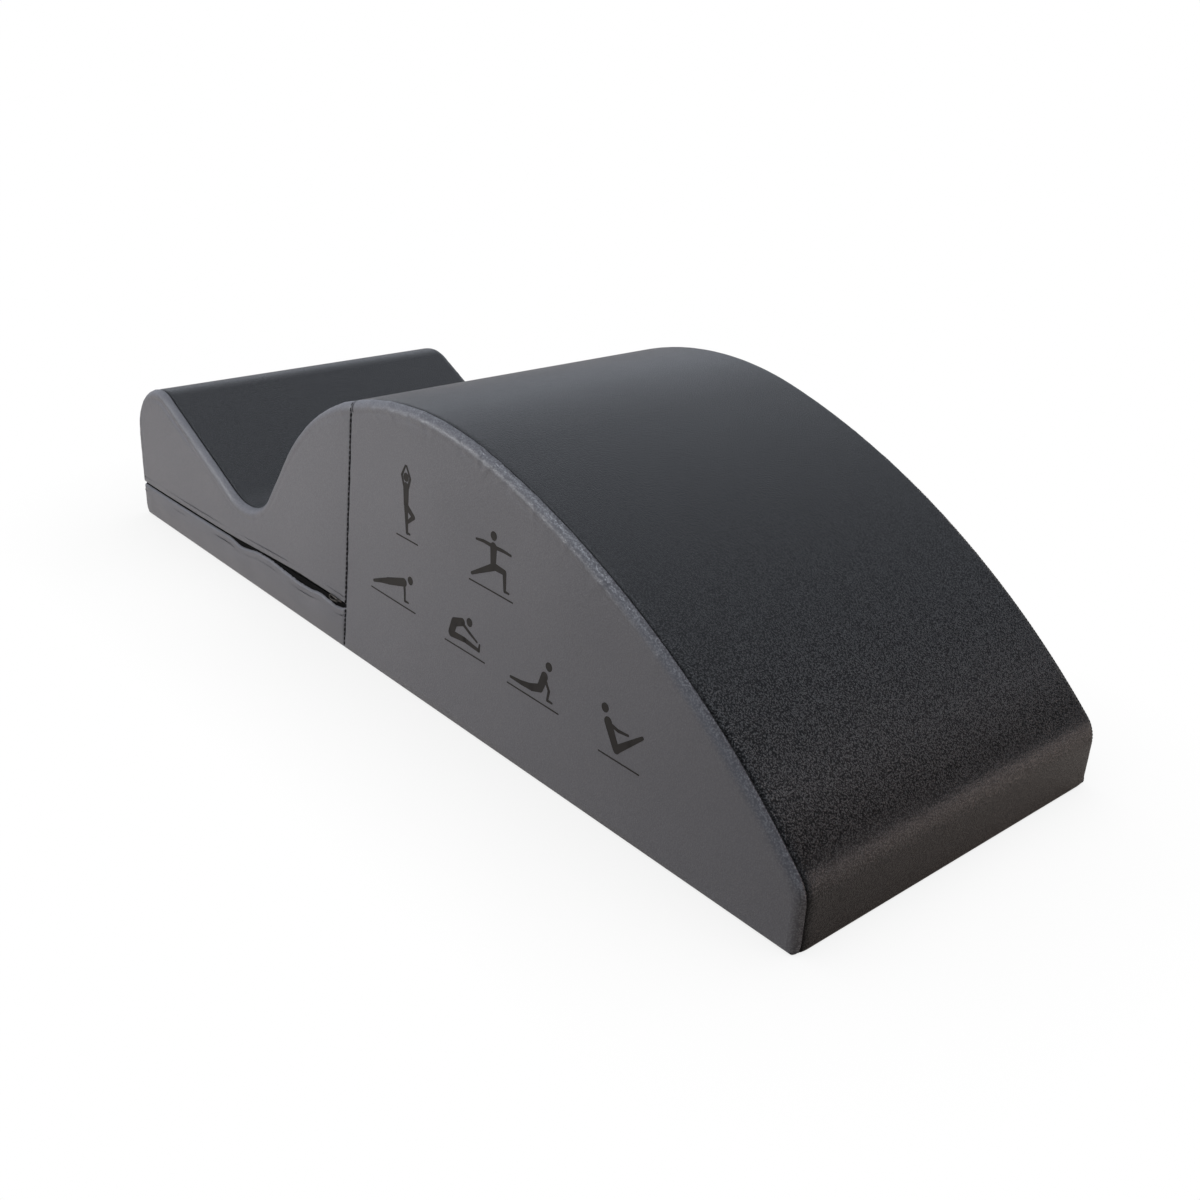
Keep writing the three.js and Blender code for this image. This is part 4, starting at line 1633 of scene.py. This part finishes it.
@dataclass
class Threads(OnSkin):
    """The stitches of every seam and both topstitches."""

    cover: Cover

    # How deep a stitch's middle lies, how thick it is and which share of the pitch it takes
    DEPTH = 0.45
    RADIUS = 0.42
    STITCH_SHARE = 0.68
    UPRIGHT_SIZE = 1.7
    # A topstitch's distance from its hem, its depth, and how far the lower one bulges
    HEM_REACH = 6.8
    HEM_DEPTH = 0.15
    STRIP_BULGE = 0.3
    # How far an upright seam turns past the long seam
    PAST_SEAM = 0.15
    PROBE = 0.4

    def __post_init__(self) -> None:
        """Models one stitch."""
        super().__post_init__()
        self.stitch = bar_mesh(self.seams.stitch * self.STITCH_SHARE, self.RADIUS)

    def build(self) -> None:
        """Sews every seam."""
        s = self.sizes
        for side in Side:
            self._seam(f"{side.word}_top", *self._long_seam(side))
            x = np.arange(s.rear_seam_x, s.foot_seam_x, 2.0)
            self._base_seam(side.word, x, side.value * s.seam_y)
            self._seam(f"{side.word}_upright", *self._upright_seam(side), self.UPRIGHT_SIZE)
        y = np.arange(1.0 - s.seam_y, s.seam_y - 1.0, 2.0)
        self._base_seam("rear", s.rear_seam_x, y)
        self._base_seam("foot", s.foot_seam_x, y)
        for hem in Hem:
            self._topstitch(hem)

    def _row(
        self, name: str, node: str, line: Array, out: Array, finish: str, size: float = 1.0
    ) -> None:
        """Sews one row of stitches along a line.

        Args:
            name: The piece's name.
            node: The CAD node that the row stands for.
            line: Points of the line.
            out: The surface's way out at them.
            finish: The thread's finish.
            size: The stitches' size, as a share of the usual one.
        """
        run, pitch = runs_along(line), self.seams.stitch * size
        middles = (np.arange(int(run[-1] / pitch)) + 0.5) * pitch

        def look_up(table: Array, places: Array) -> Array:
            """Looks up a table of the line's points at places along it."""
            return np.stack([np.interp(places, run, column) for column in table.T], axis=1)

        way = look_up(line, middles + self.PROBE) - look_up(line, middles - self.PROBE)
        at, up = look_up(line, middles), look_up(out, middles)
        stitch = (self.stitch[0] * size, self.stitch[1])
        mount(copies_along(name, stitch, at, way, up, self.finishes[finish]), "thread", node)

    def _seam(self, word: str, line: Array, out: Array, size: float = 1.0) -> None:
        """Sews a seam in black thread."""
        names = f"{word}_seam_stitches", f"{word}_seam_thread"
        self._row(*names, line, out, "polyester_thread", size)

    def _base_seam(self, word: str, x: Values, y: Values) -> None:
        """Sews a straight seam of the base."""
        line = stacked(x, y, self.DEPTH)
        self._seam(f"{word}_base", line, np.broadcast_to((0.0, 0.0, -1.0), line.shape))

    def _long_seam(self, side: Side) -> Line:
        """Draws a long seam over the top.

        Args:
            side: Which side.

        Returns:
            Points of its line, and the way out at them.
        """
        pitch = self.seams.stitch
        start = math.ceil((self.cover.hem_run(Hem.UPPER) + 2) / pitch) * pitch
        run = np.arange(start, self.outline.length - 1, 1.0)
        turn = self.skin.edge_turn(run, side)
        line = self.skin.place(run, turn, side, -self.DEPTH)
        return line, self.skin.place(run, turn, side) - line

    def _upright_seam(self, side: Side) -> Line:
        """Draws an upright seam up the face and over the edge.

        Args:
            side: Which side.

        Returns:
            Points of its line, and the way out at them.
        """
        s, run = self.sizes, self.skin.upright_run
        turn = np.linspace(RIGHT, self.skin.edge_turn(run, side) + self.PAST_SEAM, 12)
        over = self.skin.place(run, turn, side, -self.DEPTH)
        way = self.skin.place(run, turn, side) - over
        z = np.arange(self.seams.stitch, over[0, 2], 1.0)
        face = stacked(s.seam_x(z), side.value * (s.half_width - self.DEPTH), z)
        out = stacked(0.0, side.value * self.DEPTH, 0.0 * z)
        return np.concatenate([face, over]), np.concatenate([out, way])

    def _topstitch(self, hem: Hem) -> None:
        """Sews the topstitch of a hem, from one upright seam round the rear end to the other.

        Args:
            hem: Which hem.
        """
        x, y, out = RearWrap(self.sizes).at(step=1.0, ends=1.5, depth=self.HEM_DEPTH)
        line = stacked(x, y, self.cover.hem_z(hem, x) + hem.value * self.HEM_REACH)
        if hem is Hem.LOWER:
            # The lower strips bulge, so the thread stands out on the sides
            line += self.STRIP_BULGE * np.abs(out[:, 1:2]) ** 4 * out
        node = f"zip_{hem.word}_topstitch"
        self._row(f"{node}es", node, line, out, "grey_polyester_thread")


@dataclass
class Zip:
    """The zip in the slit: two tapes, two coils, the stops, the slider and its pull."""

    sizes: BodySizes
    finishes: Materials

    # Depths under the face, and distances from the slit's middle line
    TAPE_DEPTHS = (1.95, 2.6)
    TAPE_REACH = (0.7, 14.0)
    COIL_DEPTH = 3.6
    COIL_REACH = 1.65
    # How far the coils and tapes stay from the way's ends
    COIL_ENDS = 8.5
    TAPE_ENDS = 3.5
    # A tooth's length and radius
    TOOTH = (2.0, 0.5)
    TOOTH_PITCH = 1.5
    STOP_BEVEL = 0.3
    SLIDER_BEVEL = 0.18
    PULL_BEVEL = 0.25

    def build(self) -> None:
        """Builds the zip."""
        tooth = bar_mesh(*self.TOOTH)
        for hem in Hem:
            self._tape(hem)
            self._coil(hem, tooth)
        for side in Side:
            word = f"{side.word}_zip"
            self._metal(f"{word}_stop", f"{word}_end_stop", self.STOP_BEVEL, BODY)
        self._metal("zip_slider", "zip_slider_casting", self.SLIDER_BEVEL, SLIDER_BODY)
        self._metal("zip_pull", "zip_pull_ring", self.PULL_BEVEL, PULL_BODY)

    def _metal(self, node: str, name: str, bevel_mm: float, body: str) -> None:
        """Casts one metal part from its CAD node, with its sharp edges broken."""
        metal = self.finishes["gunmetal_plated_zinc"]
        mount(rounded_copy(node, name, bevel_mm, metal), "zip_metal", node, body=body)

    def _tape(self, hem: Hem) -> None:
        """Weaves one tape round the rear end.

        Args:
            hem: Which hem it is sewn to.
        """
        way, node, rows = RearWrap(self.sizes), f"zip_{hem.word}_tape", []
        (face, back), (close, wide) = self.TAPE_DEPTHS, self.TAPE_REACH
        corners = ((face, close), (face, wide), (back, wide), (back, close), (face, close))
        for depth, reach in corners:
            x, y, _ = way.at(step=2.0, ends=self.TAPE_ENDS, depth=depth)
            rows.append(stacked(x, y, self.sizes.slit_z(x) + hem.value * reach))
        obj = cloth_blank(f"{node}_cloth", np.stack(rows, axis=1))
        mount(finish_shell(obj, self.finishes["woven_zip_tape"]), "zip_tape", node)

    def _coil(self, hem: Hem, tooth: Shape) -> None:
        """Sets one coil's teeth along its tape.

        Args:
            hem: Which tape carries it.
            tooth: One tooth.
        """
        way = RearWrap(self.sizes)
        x, y, out = way.at(step=self.TOOTH_PITCH, ends=self.COIL_ENDS, depth=self.COIL_DEPTH)
        middle = stacked(x, y, self.sizes.slit_z(x) + hem.value * self.COIL_REACH)
        up = np.broadcast_to((0.0, 0.0, 1.0), out.shape)
        node, nylon = f"zip_{hem.word}_coil", self.finishes["nylon_zip_coil"]
        mount(copies_along(f"{node}_teeth", tooth, middle, up, out, nylon), "zip_coil", node)


@dataclass
class Foam:
    """The foam inside the cover: two firm blocks, each with a softer topper."""

    sizes: BodySizes
    finishes: Materials

    # The cover's room at the foot end, and the width of the blocks' broken edges
    SKIN = 2.3
    BEVEL = 0.4

    def build(self) -> None:
        """Builds the four foam pieces with their cut edges slightly broken."""
        reach = (self.sizes.foot_x - self.SKIN) * MM
        for block in ("neck", "arc"):
            for layer, kind in (("core", "firm"), ("topper", "soft")):
                node = f"{block}_foam_{layer}"
                foam = self.finishes[f"{kind}_closed_cell_foam"]
                piece = rounded_copy(node, f"{node}_block", self.BEVEL, foam)
                for vertex in piece.data.vertices:
                    vertex.co.x = min(vertex.co.x, reach)
                mount(piece, f"{layer}_foam", node, fill=1.0)


@dataclass(frozen=True)
class Figure:
    """One printed exercise figure: where it stands, its head, its limbs and its ground line.

    A limb is a row of joints, each with x, z and the limb's width there.
    """

    middle: tuple[float, float]
    head: tuple[float, float]
    limbs: tuple[tuple[tuple[float, float, float], ...], ...]
    ground: tuple[float, float]


class PanelPrint(OnSkin):
    """Plain exercise figures, printed on the near arc side panel."""

    # Heights of the ink's face and of its root, in the cloth
    INK = 0.12
    ROOT = -0.3
    # A head's width, and how its upper end differs
    HEAD = 7.4
    HEAD_END = (0.3, 0.4, -0.3)
    # A ground line's width and height
    LINE = 1.3
    LINE_Z = -5.0
    CAP_POINTS = 9
    INK_CUTS = 3
    FIGURES = (
        # Standing on one leg with joined hands
        Figure((36, 146), (0, 47.5), (
            ((1, 0.5, 3.2), (0.5, 12, 4.4), (0, 24, 5.8)), ((0.5, 0.6, 2.4), (5, 0.4, 1.8)),
            ((0, 24, 5.8), (10.5, 17, 4.4), (2, 10, 2.8)), ((0, 24, 6.4), (0, 39.5, 8)),
            ((3, 40, 3), (6, 48, 2.6), (0.8, 57, 2)), ((-3, 40, 3), (-6, 48, 2.6), (-0.8, 57, 2)),
        ), (-14, 16)),
        # Lunge with arms held out
        Figure((150, 142), (0, 40), (
            ((1, 16, 6.2), (14, 15.5, 4.8), (15, 0.8, 3.2)), ((15, 0.6, 2.4), (20, 0.5, 1.8)),
            ((0, 15, 6.2), (-13, 8, 4.4), (-26, 1, 2.8)), ((0, 15, 6.4), (0, 31, 8)),
            ((0, 31.5, 3.4), (12, 32, 2.8), (21, 31.5, 2)),
            ((0, 31.5, 3.4), (-12, 32, 2.8), (-21, 31, 2)),
        ), (-29, 25)),
        # Straight plank on the hands
        Figure((20, 84), (21, 21.5), (
            ((-34, 2, 2.8), (-23, 6, 4.2), (-12, 9.5, 6)), ((-12, 9.5, 6.4), (12, 17, 7.6)),
            ((12, 16, 3.4), (13, 8, 2.8), (13, 1, 2.4)), ((13, 0.6, 2.4), (18, 0.6, 1.8)),
        ), (-38, 28)),
        # Seated forward fold
        Figure((112, 78), (10, 22), (
            ((-14, 3.5, 6.4), (4, 4.6, 4.8), (22, 2.6, 3.2)), ((22.5, 2.4, 2.8), (23.5, 8, 2)),
            ((-14, 4, 7), (-9.5, 15, 7.8), (1, 19, 6.8)),
            ((1, 18, 3.2), (10, 13.5, 2.8), (20, 9, 2)),
        ), (-22, 30)),
        # Chest raised from the floor
        Figure((208, 74), (11.5, 28.5), (
            ((-33, 1.6, 2.4), (-20, 2, 4), (-8, 3.5, 6.2)),
            ((-8, 3.5, 6.4), (2, 7, 7), (7, 19, 7.6)),
            ((7, 18, 3.4), (12.5, 9, 2.8), (11, 1, 2.4)), ((11, 0.6, 2.4), (16.5, 0.6, 1.8)),
        ), (-37, 24)),
        # Balanced seat with legs and arms out
        Figure((296, 66), (-14, 31.5), (
            ((0, 4, 7), (-10, 22, 8)), ((0, 4, 6.4), (12.5, 14.5, 4.8), (25, 25, 3)),
            ((-9, 21.5, 3.2), (1, 19.5, 2.8), (11, 20.5, 2)),
        ), (-18, 24)),
    )

    def build(self) -> None:
        """Prints every figure as one thin piece of ink."""
        parts = []
        for figure in self.FIGURES:
            head = (*figure.head, self.HEAD)
            bars = [(head, tuple(np.add(head, self.HEAD_END)))]
            bars += [pair for limb in figure.limbs for pair in zip(limb, limb[1:])]
            bars.append(tuple((end, self.LINE_Z, self.LINE) for end in figure.ground))
            parts += [self._ink(self._capsule(*bar) + np.array(figure.middle)) for bar in bars]
        obj = join("printed_figures", parts)
        mount(paint(obj, self.finishes["screen_printed_ink"]), "thread")

    def _capsule(self, start: Sequence[float], end: Sequence[float]) -> Array:
        """Draws a bar with round ends of two widths.

        Args:
            start: x, z and width at one end.
            end: The same at the other end.

        Returns:
            Its outline as x and z.
        """
        turn = math.atan2(end[1] - start[1], end[0] - start[0])
        half = np.linspace(RIGHT, 3 * RIGHT, self.CAP_POINTS) + turn
        caps = [
            np.array([x, z]) + wide / 2 * stacked(np.cos(angle), np.sin(angle))
            for (x, z, wide), angle in ((start, half), (end, half + math.pi))
        ]
        return np.concatenate(caps)

    def _ink(self, outline: Array) -> Piece:
        """Lays one closed patch of ink on the panel.

        Args:
            outline: The patch's outline as x and z.

        Returns:
            The patch.
        """
        count = len(outline)
        x, z = np.vstack([outline, outline.mean(axis=0)]).T
        fan = [[i, (i + 1) % count, count] for i in range(count)]
        obj = add_mesh("ink", (stacked(x, 0.0, z), fan))
        edit(
            obj,
            lambda: bpy.ops.mesh.subdivide(number_cuts=self.INK_CUTS),
            lambda: bpy.ops.mesh.extrude_region_move(),
        )
        points = points_of(obj)
        lift, _, _ = self.skin.face(points[:, 0] / MM, points[:, 2] / MM, Side.NEAR)
        upper = np.arange(len(points)) >= len(points) // 2
        height = lift + np.where(upper, self.INK, self.ROOT)
        points[:, 1] = -(self.sizes.half_width + height) * MM
        obj.data.vertices.foreach_set("co", points.ravel())
        edit(obj, lambda: bpy.ops.mesh.normals_make_consistent(inside=False))
        return obj


# Studio


@dataclass(frozen=True)
class Lamp:
    """One soft square lamp, in metres and watts."""

    name: str
    place: tuple[float, float, float]
    aim: tuple[float, float, float]
    size: float
    power: float
    colour: str = "ffffff"
    mirrored: bool = True

    def build(self) -> None:
        """Hangs the lamp, out of the camera's sight."""
        data = bpy.data.lights.new(self.name, "AREA")
        data.size, data.energy, data.color = self.size, self.power, srgb(self.colour)[:3]
        obj = add_object(self.name, data)
        obj.location = self.place
        obj.rotation_mode = "QUATERNION"
        way = Vector(self.place) - Vector(self.aim)
        obj.rotation_quaternion = way.to_track_quat("Z", "Y")
        obj.visible_camera, obj.visible_glossy = False, self.mirrored


@dataclass(frozen=True)
class Studio:
    """The camera, lamps, floor and surroundings."""

    azimuth: float = math.radians(47.408)
    elevation: float = math.radians(24.740)
    roll: float = math.radians(3.260)
    place: tuple[float, float, float] = (0.8958, -0.7500, 0.5675)
    lens: float = 41.154
    sensor_width: float = 36.0
    room_light: float = 0.05
    paper: str = "d6d0c8"
    glow: float = 0.22
    glow_colour: str = "ffefe6"
    flags: tuple[float, float] = (0.76, 0.97)
    flag_level: float = 0.3
    sky: str = "eef4ff"
    shadow: float = 0.2
    shadow_reach: float = 0.18
    shadow_samples: int = 16
    floor_size: float = 60.0
    floor_sink_mm: float = 0.2
    lamps: tuple[Lamp, ...] = (
        Lamp("left lamp", (-0.5, -1.0, 0.5), (-0.2, -0.17, 0.12), 0.45, 6.4),
        Lamp("top lamp", (0.0, -0.5, 1.7), (0.0, -0.1, 0.2), 0.5, 10.0, "f0f6ff"),
        Lamp("foot lamp", (1.5, 0.9, 0.3), (0.47, 0.0, 0.03), 0.5, 5.0, "ffe0d0"),
        Lamp("back lamp", (-0.3, 1.7, 0.6), (0.0, 0.17, 0.1), 0.5, 18.0, mirrored=False),
    )

    def build(self) -> None:
        """Sets up the whole studio."""
        self._camera()
        self._floor()
        self._world()
        for lamp in self.lamps:
            lamp.build()
        bpy.context.scene.view_settings.view_transform = "Standard"

    def _camera(self) -> None:
        """Places the camera as the photograph was taken."""
        az, el, roll = self.azimuth, self.elevation, self.roll
        back = Vector((math.sin(az) * math.cos(el), -math.cos(az) * math.cos(el), math.sin(el)))
        across = Vector((0, 0, 1)).cross(back).normalized()
        up = back.cross(across)
        right = math.cos(roll) * across + math.sin(roll) * up
        top = -math.sin(roll) * across + math.cos(roll) * up
        data = bpy.data.cameras.new("camera")
        data.lens, data.sensor_width = self.lens, self.sensor_width
        obj = add_object("camera", data)
        turn = Matrix((right, top, back)).transposed()
        obj.matrix_world = Matrix.Translation(self.place) @ turn.to_4x4()
        bpy.context.scene.camera = obj

    def _floor(self) -> None:
        """Lays pale paper that the camera sees as plain white, but for the object's shadow."""
        select_only()
        bpy.ops.mesh.primitive_grid_add(x_subdivisions=4, y_subdivisions=4, size=self.floor_size)
        obj = bpy.context.object
        obj.name = "studio_floor"
        for vertex in obj.data.vertices:
            vertex.co.z = -self.floor_sink_mm * MM
        material = bpy.data.materials.new("pale_studio_paper")
        tree = bare_tree(material)
        paper = add_node(tree, "BsdfDiffuse", {"Color": srgb(self.paper)})
        near = {"Distance": self.shadow_reach, "samples": self.shadow_samples}
        open_sky = add_node(tree, "AmbientOcclusion", near).outputs["AO"]
        ends = {"To Min": 1 - self.shadow, "To Max": 1.0}
        level = add_node(tree, "MapRange", ends, {"Value": open_sky})
        shown = add_node(tree, "Emission", {"Color": srgb("ffffff")}, {"Strength": level})
        path = add_node(tree, "LightPath").outputs
        times = {"operation": "MULTIPLY", 1: self.glow}
        glow = add_node(tree, "Math", times, {0: path["Is Glossy Ray"]})
        colour = {"Color": srgb(self.glow_colour)}
        mirrored = add_node(tree, "Emission", colour, {"Strength": glow})
        lit = add_node(tree, "AddShader", links={0: paper, 1: mirrored})
        both = add_node(tree, "MixShader", links={0: path["Is Camera Ray"], 1: lit, 2: shown})
        add_node(tree, "OutputMaterial", links={"Surface": both})
        obj.data.materials.append(material)

    def _world(self) -> None:
        """White surroundings where they are seen or mirrored, and a soft light elsewhere.

        What the cover mirrors is dimmer straight to its left and right, as between two black
        flags, so that the black cloth keeps its depth in a low view from either side.
        """
        world = bpy.data.worlds.new("studio")
        tree = bare_tree(world)
        path = add_node(tree, "LightPath").outputs
        way = add_node(tree, "TexCoord").outputs["Generated"]
        parts = add_node(tree, "SeparateXYZ", links={0: way}).outputs
        across = add_node(tree, "Math", {"operation": "ABSOLUTE"}, {0: parts["Y"]})
        ends = {"From Min": self.flags[0], "From Max": self.flags[1], "To Min": 1.0}
        ends |= {"To Max": self.flag_level, "interpolation_type": "SMOOTHSTEP"}
        flags = add_node(tree, "MapRange", ends, {"Value": across})
        mix = add_node(tree, "Background", {"Color": srgb("ffffff"), "Strength": self.room_light})
        mirrored = {"Color": srgb(self.sky)}, {"Strength": flags}
        white = {"Color": srgb("ffffff"), "Strength": 1.0}, None
        for word, light in (("Glossy", mirrored), ("Transmission", white), ("Camera", white)):
            links = {0: path[f"Is {word} Ray"], 1: mix, 2: add_node(tree, "Background", *light)}
            mix = add_node(tree, "MixShader", links=links)
        add_node(tree, "OutputWorld", links={"Surface": mix})
        bpy.context.scene.world = world


def main() -> None:
    """Builds the object and its studio."""
    logging.basicConfig(level=logging.INFO, format="%(message)s")
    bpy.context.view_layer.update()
    Studio().build()
    finishes = {finish.name: finish.make() for finish in FINISHES}
    outline = SideOutline(BodySizes())
    skin = BodySkin(outline, SeamForms())
    Foam(outline.sizes, finishes).build()
    cover = Cover(skin, finishes)
    cover.build()
    Threads(skin, finishes, cover).build()
    Zip(outline.sizes, finishes).build()
    PanelPrint(skin, finishes).build()


if __name__ == "__main__":
    main()
